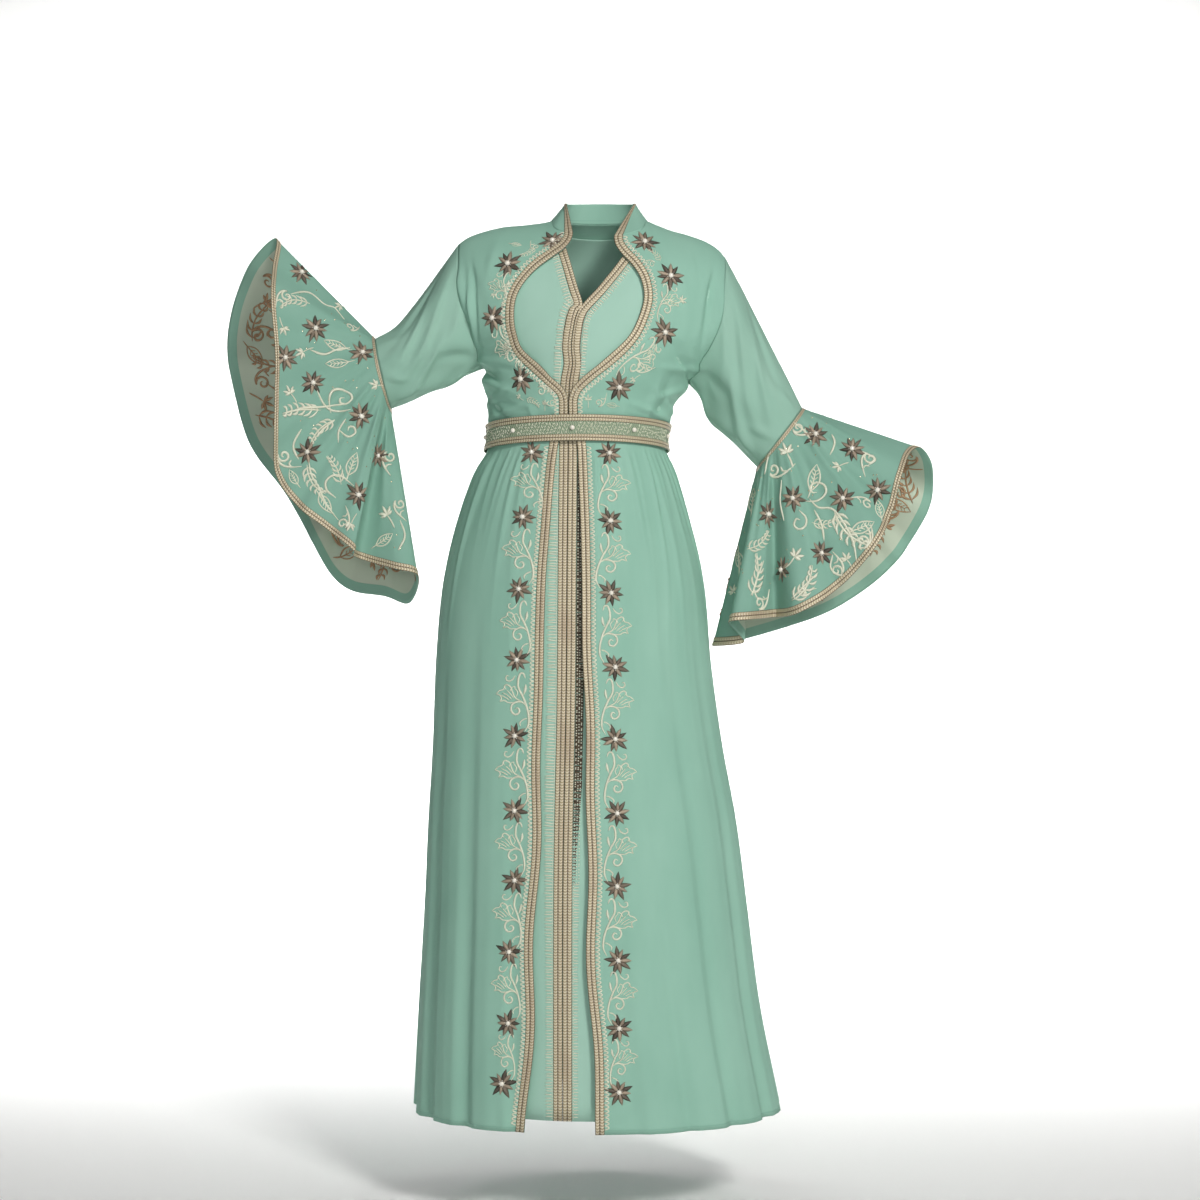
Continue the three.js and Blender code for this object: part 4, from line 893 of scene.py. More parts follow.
sleeveTables = {  # along, highest x, z, lowest x, z, depth
    "right": np.array([(0, -227, -8, -189, -206, 58), (0.2, -248, -35, -209, -213, 59),
                       (0.4, -272, -69, -235, -223, 58), (0.6, -298, -105, -264, -239, 56),
                       (0.8, -327, -139, -300, -258, 53), (1, -359, -158, -334, -270, 50)]),
    "left": np.array([(0, 198, -26, 144, -230, 60), (0.2, 225, -72, 160, -248, 60),
                      (0.4, 250, -122, 174, -276, 59), (0.6, 276, -175, 194, -305, 57),
                      (0.8, 302, -226, 221, -333, 54), (1, 323, -269, 251, -363, 50)]),
}
sleeveFolds = np.array([  # around, along, slant, height, spread, reach
    (62, 0.3, 40, 5, 17, 0.32), (112, 0.42, -30, 6, 16, 0.34), (155, 0.62, -50, 5, 18, 0.3),
    (78, 0.84, 55, 5, 17, 0.16), (215, 0.45, 35, 5, 19, 0.32), (262, 0.66, -35, 6, 18, 0.3),
    (312, 0.4, 25, 4, 18, 0.3),
    # finer drag lines between the folds, and the small creases at the elbow
    (40, 0.5, 60, -3, 8, 0.3), (88, 0.5, 80, 3.4, 7, 0.26), (132, 0.28, -60, -3.4, 8, 0.24),
    (140, 0.78, 70, 4.4, 7, 0.16), (108, 0.9, -90, 4.2, 7, 0.12), (168, 0.34, 40, 4.4, 8, 0.24),
    (52, 0.86, -60, 3.6, 8, 0.13), (190, 0.8, 50, -3, 9, 0.18), (238, 0.3, 60, -3, 10, 0.26),
    (284, 0.5, 70, 3.4, 9, 0.24), (330, 0.74, -60, -3, 10, 0.22), (12, 0.34, 30, -2.6, 10, 0.26),
    (74, 0.66, 90, 3.6, 6, 0.18), (120, 0.6, 70, 3.4, 6, 0.2), (100, 0.14, 50, 3, 7, 0.14)], float)


sleeve = {"rows": 64, "foldFactor": 1.5}


# A point of a sleeve's slanted ring: 0 is its highest point, 90 the front and 180 the lowest. The
# ring is an ellipse, and a lift makes it larger by that much.
def sleevePoint(name, around, along, lift=0.0):
    table = sleeveTables[name]
    topX, topZ, lowX, lowZ, depth = (curve(table[:, 0], table[:, i], along) for i in range(1, 6))
    upX, upZ = (topX - lowX) / 2, (topZ - lowZ) / 2
    angle = np.radians(around)
    grow = np.cos(angle) * (1 + lift / np.hypot(upX, upZ))
    x, z = (topX + lowX) / 2 + upX * grow, (topZ + lowZ) / 2 + upZ * grow
    return np.stack([x, -depth * np.sin(angle) * (1 + lift / depth) + 0 * x, z], -1)


# The sum of the sleeve's folds: each is a bell across its slanted line and a bell along it.
def sleeveLift(around, along):
    t = sleeveFolds
    after = along[..., None] - t[:, 1]
    aside = wrapped(around[..., None] - t[:, 0] - t[:, 2] * after)
    folds = t[:, 3] * np.exp(-(aside / t[:, 4]) ** 2 - (after / t[:, 5]) ** 2)
    return sleeve["foldFactor"] * folds.sum(-1)


# The sleeve starts on the armhole's ring of points, whose shape fades out towards the elbow as the
# cube of what is left. Its folds fade at both ends as the root of a sine.
def sleeveGrid(name, armhole):
    turns = np.arange(len(armhole)) * 360 / len(armhole)
    along, around = np.meshgrid(steps(0, 1, sleeve["rows"]), turns, indexing="ij")
    lift = sleeveLift(around, along) * np.sin(np.pi * along) ** 0.5
    plain = sleevePoint(name, around, along, lift)
    start = sleevePoint(name, around[:1], 0 * along[:1])
    return plain + (armhole[None] - start) * ((1 - along) ** 3)[..., None]


# Bell flounces

bellHems = {  # turn round the elbow seam, x, y, z
    "right": np.array([
        (0, -520, 0, 3), (14, -519, -42, -47), (30, -516, -70, -112), (48, -509, -88, -204),
        (66, -509, -94, -310), (80, -509, -88, -376), (96, -476, -84, -427), (112, -432, -90, -462),
        (128, -386, -92, -498), (138, -389, -56, -507), (148, -364, -42, -516), (160, -323, -60, -527),
        (172, -288, -42, -538), (190, -306, 8, -581), (208, -348, 46, -570), (224, -404, 70, -561),
        (240, -438, 72, -534), (252, -468, 60, -479), (268, -515, 78, -400), (288, -577, 98, -314),
        (308, -607, 104, -198), (328, -605, 90, -110), (345, -570, 46, -39)], float),
    "left": np.array([
        (0, 514, 0, -333), (14, 491, -38, -345), (28, 472, -66, -387), (44, 459, -84, -437),
        (62, 431, -94, -492), (82, 375, -98, -556), (102, 306, -96, -598), (116, 269, -70, -604),
        (130, 231, -96, -607), (142, 202, -92, -611), (154, 217, -66, -628), (166, 226, -46, -644),
        (180, 179, -22, -649), (200, 229, 34, -640), (222, 313, 72, -617), (244, 376, 92, -594),
        (266, 436, 100, -558), (288, 488, 98, -510), (308, 522, 90, -458), (328, 542, 72, -407),
        (346, 536, 36, -360)], float),
}
bell = {"waves": 10, "waveHeight": 7, "wavePower": 1.5, "foldRise": 5, "foldFade": 1.25, "foldPower": 0.7,
        "pleatPower": 0.8, "braid": 10, "columns": 280, "rows": 52, "seamGap": 0.3}
bellFolds = np.array([  # turn, height, spread, start along, of folds that fan out from the seam
    (22, 5.5, 4, 0.05), (38, -4, 4, 0.1), (57, 6, 4, 0.02), (73, -4.4, 4, 0.12), (90, 5.6, 4, 0.05),
    (106, -4.6, 3.6, 0.0), (121, 7, 3.6, 0.04), (133, -4.6, 3, 0.02), (152, 6.4, 4, 0.06), (178, -4, 5, 0.1),
    (199, 5.2, 4.5, 0.05), (221, -4.2, 4.5, 0.08), (243, 5.6, 4.5, 0.02), (262, -4, 4.5, 0.1),
    (283, 5.2, 4.5, 0.04), (304, -4, 4.5, 0.1), (326, 5, 4.5, 0.06), (345, -4, 4, 0.1)], float)
bellPleats = {  # turn, depth, spread, of the deep troughs that grow from the seam to the hem
    "right": np.array([(141, 17, 5), (96, 7, 4), (60, 6, 4.5), (250, 10, 5), (310, 8, 5)], float),
    "left": np.array([(112, 19, 4.4), (147, 10, 3.4), (84, 7, 4), (48, 7, 4.5), (228, 10, 5), (290, 9, 5)],
                     float),
}


# Straight from the elbow seam to the hem, with waves that grow towards the hem, finer folds that
# are deepest in the upper half, and pleats that grow from the seam. Each is a bell across its turn.
def bellFace(name):
    hem = bellHems[name]
    table = sleeveTables[name][-1]
    across = np.array([table[3] - table[1], 0, table[4] - table[2]])
    across /= np.linalg.norm(across)
    outwards = np.array([-across[2], 0, across[0]]) * np.sign(table[1])

    def face(turn, along):
        turn, along = np.broadcast_arrays(np.asarray(turn, float), np.asarray(along, float))
        turn = turn % 360
        seam = sleevePoint(name, turn, np.ones_like(turn)) + outwards * bell["seamGap"]
        rim = np.stack([roundCurve(hem[:, 0], hem[:, i], turn) for i in (1, 2, 3)], -1)
        point = seam + (rim - seam) * along[..., None]
        waveGrown = bell["waveHeight"] * np.maximum(along, 0) ** bell["wavePower"]
        wave = waveGrown * np.sin(np.radians(turn * bell["waves"]))
        aside = wrapped(turn[..., None] - bellFolds[:, 0])
        grown = np.clip((along[..., None] - bellFolds[:, 3]) * bell["foldRise"], 0, 1)
        grown = grown * (bell["foldFade"] - along[..., None]) ** bell["foldPower"]
        fold = (bellFolds[:, 1] * grown * np.exp(-(aside / bellFolds[:, 2]) ** 2)).sum(-1)
        pleats = bellPleats[name]
        aside = wrapped(turn[..., None] - pleats[:, 0])
        grown = np.clip(along[..., None], 0, 1) ** bell["pleatPower"]
        pleat = (pleats[:, 1] * grown * np.exp(-(aside / pleats[:, 2]) ** 2)).sum(-1)
        point[..., 1] += wave + (pleat - fold) * np.where(np.sin(np.radians(turn)) > 0, 1, -1)
        return point
    return face


# Collar and belt

collar = {"x": 0.5, "y": 6, "halfWidth": 57, "halfDepth": 50, "lowZ": 54.5, "riseZ": 11.5,
          "frontAngles": [110, 97, 88], "sideAngle": 78, "rows": 15}
belt = {"height": 41, "braid": 10.5, "middle": -318, "rise": 0.09, "columns": 300, "rows": 14}


# The collar rises from the neck seam to its top edge, and leans a little out at the top. The top is
# an ellipse seen from above, and its height a cosine of the angle from behind.
def collarGrid(frontRight, back, frontLeft):
    cut, fine = cuts["gown"], cuts["gown"]["fine"]
    frontNeck = np.array([0, *(braidSteps + np.arange(cut["neckSteps"]) * fine)])
    shoulder = (cut["shoulderSteps"] + 1) * fine
    backNeck = back[0, shoulder:back.shape[1] - shoulder:fine]
    base = np.concatenate([frontRight[0, frontNeck], backNeck, frontLeft[0, frontNeck[::-1]]])
    side, front = collar["sideAngle"], np.array([*collar["frontAngles"], collar["sideAngle"]])
    rear = -side + 2 * side * (np.arange(len(backNeck)) + 1) / (len(backNeck) + 1)
    angle = np.radians(np.concatenate([-front, rear, front[::-1]]))
    top = np.stack([collar["x"] + collar["halfWidth"] * np.sin(angle),
                    collar["y"] + collar["halfDepth"] * np.cos(angle),
                    collar["lowZ"] + collar["riseZ"] * ((1 + np.cos(angle)) / 2) ** 1.5], -1)
    rise = np.array([1, 2 / 3, 1 / 3, 0])[:, None, None]
    plain = base + (top - base) * rise
    last = plain.shape[1] - 1
    columns = np.concatenate([steps(0, 1, braidSteps)[:-1], steps(1, last - 1, (last - 2) * fine),
                              steps(last - 1, last, braidSteps)[1:]])
    return finer(plain, steps(0, len(plain) - 1, collar["rows"]), columns)


# The belt: the form's section at its height, tilted so that it is higher in front.
def beltFace(turn, height):
    level = formPoint("belt", turn, belt["middle"] + np.asarray(height, float))
    return formPoint("belt", turn, level[..., 2] - belt["rise"] * level[..., 1])


# Cloth pieces

forwards, backwards = np.array([0.0, -1, 0]), np.array([0.0, 1, 0])


# The points of a face at a grid of places.
def facesOf(face, grid):
    return face(grid[..., 0], grid[..., 1])


# Directions outwards from the middle of each row.
def fromMiddle(points):
    return points - points.mean(axis=1, keepdims=True)


# Even turns once round, without the last.
def roundTurns(count):
    return np.arange(count) * 360 / count


clothWalls = {"gown": 0.9, "sleeve": 0.7, "bell": 0.8, "dress": 0.9, "belt": 1.2}


# Every cloth piece, with its grid of points for the trims. The sleeves start on the rings of points
# that the fronts and the back have round the armholes.
def makeCloth():
    finishes = {name: clothMaterial(name) for name in clothFinish}
    front = {name: facesOf(gownFace, upperFront("gown", name)) for name in sides}
    back = facesOf(gownFace, fromBehind(upperBack("gown")))
    armpit = cuts["gown"]["holeSteps"] * cuts["gown"]["fine"]
    grids, pieces = {}, {}

    def cloth(name, points, outward, finish, wall, wrap=False, inside=None):
        grids[name] = points
        look = finishes[finish]
        pieces[name] = clothPiece(name + "_cloth", points, outward, look, wrap, clothWalls[wall], inside)

    for name in sides:
        cloth("bodice_front_" + name, front[name], forwards, "gownCrepe", "gown")
    cloth("bodice_back", back, backwards, "gownCrepe", "gown")
    neck = collarGrid(front["right"], back, front["left"])
    cloth("stand_collar", neck, fromMiddle(neck), "gownCrepe", "gown")
    for name, column in (("right", 0), ("left", -1)):
        ring = np.concatenate([front[name][:armpit + 1, -1], back[1:armpit, column][::-1]])
        arm = sleeveGrid(name, ring)
        cloth("sleeve_" + name, arm, fromMiddle(arm), "sleeveGeorgette", "sleeve", True)
        flounce = bellFace(name)(roundTurns(bell["columns"])[None], steps(0, 1, bell["rows"])[:, None])
        reverse = finishes["bellReverse"]
        cloth("bell_" + name, flounce, fromMiddle(flounce), "bellCrepe", "bell", True, reverse)
        cloth("skirt_front_" + name, facesOf(gownFace, skirtFrontGrid(name)), forwards, "gownCrepe", "gown")
        dress = facesOf(dressFace, dressFrontGrid(name))
        cloth("dress_front_" + name, dress, forwards, "dressSatin", "dress")
    cloth("skirt_back", facesOf(gownFace, skirtBackGrid()), backwards, "gownCrepe", "gown")
    cloth("dress_back", facesOf(dressFace, dressBackGrid()), backwards, "dressSatin", "dress")
    half = belt["height"] / 2
    band = beltFace(roundTurns(belt["columns"])[None], steps(half, -half, belt["rows"])[:, None])
    cloth("belt_band", band, fromMiddle(band), "beltSilk", "belt", True)
    for name, piece in pieces.items():
        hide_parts(name)
    return grids, pieces


# Braids

braid = {"columns": 17, "flat": 0.45, "bodice": 1.7, "collar": 1.7, "skirt": 1.7, "placket": 1.25,
         "bell": 1.4, "belt": 1.6, "elbow": 0.8}  # heights, by place


# Two round cords side by side across a braid, between three flat lines.
def cordProfile(height):
    across = np.linspace(0, 1, braid["columns"])
    return braid["flat"] + (height - braid["flat"]) * np.abs(np.sin(2 * np.pi * across)) ** 0.55


# A braid on a strip of points, whose columns go across it: read at more columns, and raised by the
# profile of its cords.
def stripTrim(name, strip, normals, material, height, goesRound=False):
    rows, columns = np.arange(len(strip)), np.linspace(0, strip.shape[1] - 1, braid["columns"])
    points, out = finer(strip, rows, columns), finer(normals, rows, columns)
    return trimPiece(name, points, out, cordProfile(height), material, goesRound)


# A braid round a ring, whose rows go across it and whose first column is repeated to close it.
def ringTrim(name, ring, material, height):
    normals = gridNormals(ring, fromMiddle(ring), True)
    closed, out = (np.concatenate([part, part[:, :1]], 1).swapaxes(0, 1) for part in (ring, normals))
    return stripTrim(name, closed, out, material, height, True)


# Every braid: on the first columns of each front panel, on both ends of the collar, round the hems
# of the bells and along the belt's edges.
def makeBraids(grids):
    gold = braidMaterial()
    pieces = {}
    panels = {"bodice": "bodice_front_", "collar": "stand_collar", "skirt": "skirt_front_",
              "placket": "dress_front_"}
    for place, panel in panels.items():
        for name in sides:
            grid = grids[panel if place == "collar" else panel + name]
            normals = gridNormals(grid, fromMiddle(grid) if place == "collar" else forwards)
            last = place == "collar" and name == "left"
            columns = slice(-braidSteps - 1, None) if last else slice(0, braidSteps + 1)
            trim, strip, out = f"{place}_braid_{name}", grid[:, columns], normals[:, columns]
            pieces[trim] = stripTrim(trim + "_trim", strip, out, gold, braid[place])
    for name in sides:
        face = bellFace(name)
        inner = 1 - bell["braid"] / np.linalg.norm(face(0, 1) - face(0, 0))
        ring = face(roundTurns(bell["columns"])[None], steps(inner, 1, braidSteps)[:, None])
        trim = "bell_braid_" + name
        pieces[trim] = ringTrim(trim + "_trim", ring, gold, braid["bell"])
    edge = belt["height"] / 2
    for name, high in (("belt_braid_top", edge), ("belt_braid_bottom", belt["braid"] - edge)):
        heights = steps(high, high - belt["braid"], braidSteps)[:, None]
        ring = beltFace(roundTurns(belt["columns"])[None], heights)
        pieces[name] = ringTrim(name + "_trim", ring, gold, braid["belt"])
    for name, piece in pieces.items():
        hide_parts(name)
    return pieces


# Raised thread work

# Strands, petals and pearls are gathered here, then made into one mesh for each finish.
class Bag:
    def __init__(self):
        self.points, self.quads, self.cut, self.tone, self.count = [], [], [], [], 0

    # points: copies by points by 3. The same quads and cut coordinates serve every copy.
    def put(self, points, quads, cut, tone=0.5):
        copies, size = points.shape[:2]
        start = self.count + np.arange(copies)[:, None, None] * size
        self.points.append(points.reshape(-1, 3))
        self.quads.append((quads[None] + start).reshape(-1, 4))
        self.cut.append(np.broadcast_to(cut, (copies, size, 2)).reshape(-1, 2))
        tones = np.broadcast_to(np.asarray(tone, float).reshape(-1, 1), (copies, size))
        self.tone.append(tones.reshape(-1))
        self.count += copies * size

    def make(self, name, material):
        parts = (self.points, self.quads, self.cut, self.tone)
        points, quads, cut, tone = (np.concatenate(part) for part in parts)
        piece = addMesh(name, points, quads, cut, material, tone)
        weld(piece, True)
        return piece


# A smooth path of evenly read points through a few corners.
def through(corners, count):
    corners = np.asarray(corners, float)
    return atRows(corners, np.linspace(0, len(corners) - 1, count))


# A spiral from outside to its middle: its radius falls evenly with the turn, to about a fifth.
def spiral(x, z, radius, turns, start, count):
    t = np.linspace(0, 1, count)
    angle, r = np.radians(start) + t * turns * 2 * np.pi, radius * (1 - 0.82 * t)
    return np.stack([x + r * np.cos(angle), z + r * np.sin(angle)], -1)


# A low rounded ridge along a flat path, closed all round: four points for each step of the path,
# which are its left foot, its top, its right foot and a point sunk in the cloth.
def strand(path, width, height, sink=0.3):
    count = len(path)
    tangent = np.gradient(path, axis=0)
    tangent /= np.maximum(np.linalg.norm(tangent, axis=-1, keepdims=True), 1e-9)
    side = np.stack([-tangent[:, 1], tangent[:, 0]], -1) * np.broadcast_to(width, count)[:, None]
    height = np.broadcast_to(height, count)
    flat = np.stack([path + side, path, path - side, path], 1)
    high = np.stack([0 * height, height, 0 * height, 0 * height - sink], -1)
    points = np.concatenate([flat, high[..., None]], -1).reshape(-1, 3)
    ends = np.array([[0, 1, 2, 3], [3, 2, 1, 0]]) + np.array([[0], [(count - 1) * 4]])
    quads = np.concatenate([gridQuads(count, 4, True), ends])
    run = runningLength(path) * mm
    cut = np.stack(np.broadcast_arrays(np.array([0, 0.5, 1, 0.5]), run[:, None]), -1).reshape(-1, 2)
    return points, quads, cut


# Widths of a strand that tapers at its ends.
def taper(count, width, first=0.35, last=0.3):
    t = np.linspace(0, 1, count)
    return width * np.minimum(1, np.minimum(first + t * 5, last + (1 - t) * 4))


# Places flat motifs on a surface. Each motif's x runs to the right as seen from the front, its y
# up in the surface, and its height along the surface's normal. The slopes at its middle turn each
# step in millimetres into steps of u and v, and the surface is read again at every point.
def placeOn(face, u, v, motif, sign=1, spin=0.0, size=1.0, stepU=0.4, stepV=0.4, ends=(-2000, 2000)):
    u, v = np.atleast_1d(np.asarray(u, float)), np.atleast_1d(np.asarray(v, float))
    spin, size = (np.broadcast_to(part, u.shape)[:, None] for part in (np.radians(spin), size))

    def slopes(a, b):  # along u, along v, and the normal across both
        along = (face(a + stepU, b) - face(a - stepU, b)) / (2 * stepU)
        down = (face(a, b + stepV) - face(a, b - stepV)) / (2 * stepV)
        normal = np.cross(along, down) * sign
        return along, down, normal / np.maximum(np.linalg.norm(normal, axis=-1, keepdims=True), 1e-9)

    pu, pv, normal = slopes(u, v)
    right = np.array([1.0, 0, 0]) - normal * normal[:, :1]
    right /= np.linalg.norm(right, axis=-1, keepdims=True)
    up = np.cross(normal, right)
    x = (motif[None, :, 0] * np.cos(spin) - motif[None, :, 1] * np.sin(spin)) * size
    y = (motif[None, :, 0] * np.sin(spin) + motif[None, :, 1] * np.cos(spin)) * size
    wanted = x[..., None] * right[:, None] + y[..., None] * up[:, None]
    uu, uv, vv = (pu * pu).sum(-1)[:, None], (pu * pv).sum(-1)[:, None], (pv * pv).sum(-1)[:, None]
    wu, wv = (wanted * pu[:, None]).sum(-1), (wanted * pv[:, None]).sum(-1)
    det = uu * vv - uv ** 2
    a, b = u[:, None] + (wu * vv - wv * uv) / det, v[:, None] + (wv * uu - wu * uv) / det
    b = np.clip(b, *ends)
    return face(a, b) + slopes(a, b)[2] * motif[None, :, 2:]


flower = {"petals": 10, "radius": 24.5, "shorter": 0.12, "start": 2.6, "width": 3.9, "height": 1.9,
          "tones": (0.1, 0.72), "toneChance": (-0.16, 0.26), "turnChance": (-7, 7),
          "sizeChance": (0.82, 1.04), "pearl": 4.0,
          "beads": 7, "bead": 0.85, "beadLift": 1.2, "beadGap": 0.9}


# One petal, pointed at both ends, from near the middle out to its tip. It swells as a sine.
def petal(radius, width, height):
    t = np.linspace(0, 1, 6)
    path = np.stack([flower["start"] + (radius - flower["start"]) * t, 0 * t], -1)
    swell = np.sin(np.pi * np.clip(t * 0.93 + 0.06, 0, 1) ** 0.8)
    return strand(path, width * swell + 0.15, height * swell ** 0.7 + 0.1)


# Points turned about the motif's own middle.
def turned(points, degrees):
    angle = np.radians(degrees)
    x, y = points[:, 0], points[:, 1]
    across, up = x * np.cos(angle) - y * np.sin(angle), x * np.sin(angle) + y * np.cos(angle)
    return np.stack([across, up, points[:, 2]], -1)


# A half ball with a closed foot: rings of points from its foot up to its pole.
def pearl(radius, lift=0.4, rings=(-40, -12, 16, 42, 66, 90), around=10):
    rise, about = np.meshgrid(np.radians(rings), np.arange(around) * 2 * np.pi / around, indexing="ij")
    x, y = radius * np.cos(rise) * np.cos(about), radius * np.cos(rise) * np.sin(about)
    z = radius * 0.85 * np.sin(rise) + radius * 0.5 + lift
    foot = np.stack([0 * x[:1], 0 * x[:1], z[:1]], -1)
    points = np.concatenate([foot, np.stack([x, y, z], -1)]).reshape(-1, 3)
    return points, gridQuads(len(rings) + 1, around, True), points[:, :2] * mm


# A seed bead is the same with fewer faces.
def bead(radius, lift):
    return pearl(radius, lift, (-40, 20, 58, 90), 6)


# Flowers: long dark petals and shorter pale ones in turn, each with a little chance in its turn,
# size and tone, round a pearl with seed beads.
def putFlowers(petals, pearls, face, u, v, sign=1, size=1.0, **where):
    u, v = np.atleast_1d(u), np.atleast_1d(v)
    start, count = chance.uniform(0, 360, len(u)), flower["petals"]
    for k in range(count):
        long = flower["radius"] * (1 - flower["shorter"] * (k % 2))
        points, quads, cut = petal(long, flower["width"], flower["height"])
        spin = start + k * 360 / count + chance.uniform(*flower["turnChance"], len(u))
        grow = size * chance.uniform(*flower["sizeChance"], len(u))
        tone = np.clip(flower["tones"][k % 2] + chance.uniform(*flower["toneChance"], len(u)), 0, 1)
        petals.put(placeOn(face, u, v, points, sign, spin, grow, **where), quads, cut, tone)
    points, quads, cut = pearl(flower["pearl"])
    pearls.put(placeOn(face, u, v, points, sign, 0, size, **where), quads, cut)
    points, quads, cut = bead(flower["bead"], flower["beadLift"])
    points = points + np.array([flower["pearl"] + flower["beadGap"], 0, 0])
    for k in range(flower["beads"]):
        around = turned(points, k * 360 / flower["beads"])
        pearls.put(placeOn(face, u, v, around, sign, start, size, **where), quads, cut)


# The motifs between the flowers, as paths in millimetres: (path, width, height). The scroll runs
# from one flower, at 0, down to the next: a wavy stem with curls, and a lobed leaf with its veins.
def borderScroll():
    leaf = [([(-9, -64), (1, -59), (6, -50), (9, -42), (16, -38.5), (19.5, -42), (16, -46)], 0.7),
            ([(18, -40), (21, -46), (27, -48), (33, -53)], 0.6),
            ([(33, -53), (26, -55.5), (24, -60), (26.5, -65)], 0.6),
            ([(26.5, -65), (19, -63), (13, -66), (4, -66), (-4, -64)], 0.6)]
    veins = [([(4, -59), (10, -52), (15, -47)], 0.5), ([(7, -61), (14, -55), (22, -51)], 0.5),
             ([(11, -62), (18, -58), (25, -55)], 0.5), ([(10, -49), (8, -44), (3, -41), (2, -46)], 0.5),
             ([(0, -57), (-2, -50), (2, -44)], 0.5)]
    stems = [([(-7, -20), (-3, -29), (-3, -42), (-9, -54), (-15, -68), (-19, -84), (-19, -99),
               (-13, -111)], 1.05),
             ([(-14, -28), (-11, -21), (-6, -21), (-3, -28), (-4, -37)], 0.85),
             ([(-15, -70), (-9, -65), (0, -65), (7, -70), (8, -78), (3, -84), (-3, -83), (-5, -78),
               (-2, -74), (2, -76)], 0.95),
             ([(2, -24), (6, -30), (12, -33), (17, -30), (16, -25), (12, -25)], 0.7),
             ([(-17, -90), (-11, -92), (-6, -97), (-7, -102)], 0.7)]
    paths = [(through(p, 8 + 2 * len(p)), w * 1.4, 1.2) for p, w in leaf + veins + stems]
    bud = through([(-15, -37), (-14, -46), (-11, -55)], 7)
    paths.append((bud, np.array([0.3, 1.6, 2.3, 2.4, 1.9, 1.0, 0.2]), 1.2))
    return paths


# A tail that runs into a spiral, with a short side shoot.
def curlMotif():
    tail = through([(-26, -16), (-20, -4), (-13, 6), (-4, 11.5), (5, 11)], 12)
    return [(np.concatenate([tail[:-1], spiral(2, 1, 10.4, 1.25, 75, 18)]), 1.3, 1.2),
            (through([(-20, -4), (-13, -3), (-8, -8)], 7), 0.9, 1.0)]


# A bent spine with pairs of swelling leaflets, each shorter than the one below it.
def fernMotif():
    spine = through([(0, -30), (3, -14), (2, 4), (-4, 20), (-10, 32)], 14)
    paths, swelling = [(spine, 1.0, 1.1)], np.array([0.4, 1.1, 1.6, 1.8, 1.6, 1.0, 0.2])
    for k in range(6):
        root = spine[1 + int(k * 2.1)]
        long = 17.5 - k * 1.9
        for way in (-1, 1):
            tip = root + (way * long * 0.66, long * 0.86)
            middle = (root + tip) / 2 + (way * 2.4, -1.6)
            paths.append((through([root, middle, tip], 7), swelling, 1.1))
    return paths


# An outline of two bowed sides with a middle vein and four pairs of short veins.
def leafMotif():
    paths = []
    for way in (-1, 1):
        paths.append((through([(0, -17), (way * 7, -6), (way * 6.5, 6), (0, 19)], 10), 0.75, 0.9))
    paths.append((through([(0, -26), (0, -10), (0, 10)], 8), 0.7, 0.9))
    for k in range(4):
        y = -8 + k * 5.5
        for way in (-1, 1):
            paths.append((through([(0, y), (way * 2.4, y + 2.4), (way * 4.4, y + 5)], 5), 0.5, 0.8))
    return paths


# A stalk with five pointed leaflets that fan out from its top, each a sine in width and height.
def sprigMotif():
    paths = [(through([(0, -24), (1, -12), (0, 0)], 8), 0.9, 1.0)]
    for angle, long in ((90, 17), (40, 15), (140, 15), (8, 11), (172, 11)):
        t = np.linspace(0, 1, 7)
        path = np.stack([t * long * np.cos(np.radians(angle)), t * long * np.sin(np.radians(angle))], -1)
        paths.append((path, 0.2 + 2.1 * np.sin(np.pi * t) ** 0.8, 0.2 + 1.1 * np.sin(np.pi * t)))
    return paths


# One motif at places of a face. With a depth its ridges point inwards, from behind the cloth.
def putMotif(bag, paths, face, u, v, sign=1, spin=0.0, size=1.0, mirror=1, depth=None, bold=1.0, **where):
    for path, width, height in paths:
        path = path * (mirror, 1)
        width = taper(len(path), width * 1.25 * bold) if np.ndim(width) == 0 else width * bold
        points, quads, cut = strand(path, width, height)
        if depth is not None:
            points = points * (1, 1, -1) - (0, 0, depth)
        bag.put(placeOn(face, u, v, points, sign, spin, size, **where), quads, cut, 0.5)


# Where a point of the photograph falls on the wearer, at a depth behind the shoulders' plane: the
# distance from its middle, times the size that a pixel has at that depth.
def fromPhoto(pixels, depth):
    x, y = np.asarray(pixels, float).T
    scale = view["pixel"] * (1 + np.asarray(depth, float) / view["distance"])
    return np.stack([(x - view["middle"]) * scale, view["height"] + (view["middle"] - y) * scale], -1)


borders = {  # flowers, by x and y in the photograph
    "right": {"skirt": [(532, 452), (523, 517), (519, 589), (517, 660), (515, 736), (514.5, 811),
                        (514.5, 881), (509, 953), (508, 1025), (503, 1086)],
              "bodice": [(552, 237), (507, 261), (492, 316), (521, 378)]},
    "left": {"skirt": [(609, 453), (610, 521), (611, 593), (615, 667), (615, 739), (617, 813), (617, 886),
                       (618, 960), (619, 1028), (619, 1092)],
             "bodice": [(645, 238), (671, 274), (665, 332), (619, 387)]},
}
borderLook = {"skirtDepth": -108, "fallFrom": 440, "fall": 0.155, "bodiceDepth": -112, "skirtFlower": 0.97,
              "bodiceFlower": 1.06, "skirtUnit": 117, "bodiceUnit": 122}
edgeLoop = {"gap": 0.4, "spacing": 6.2, "reach": 6.6, "half": 2.9, "points": 7, "width": 1.15, "height": 1.2}
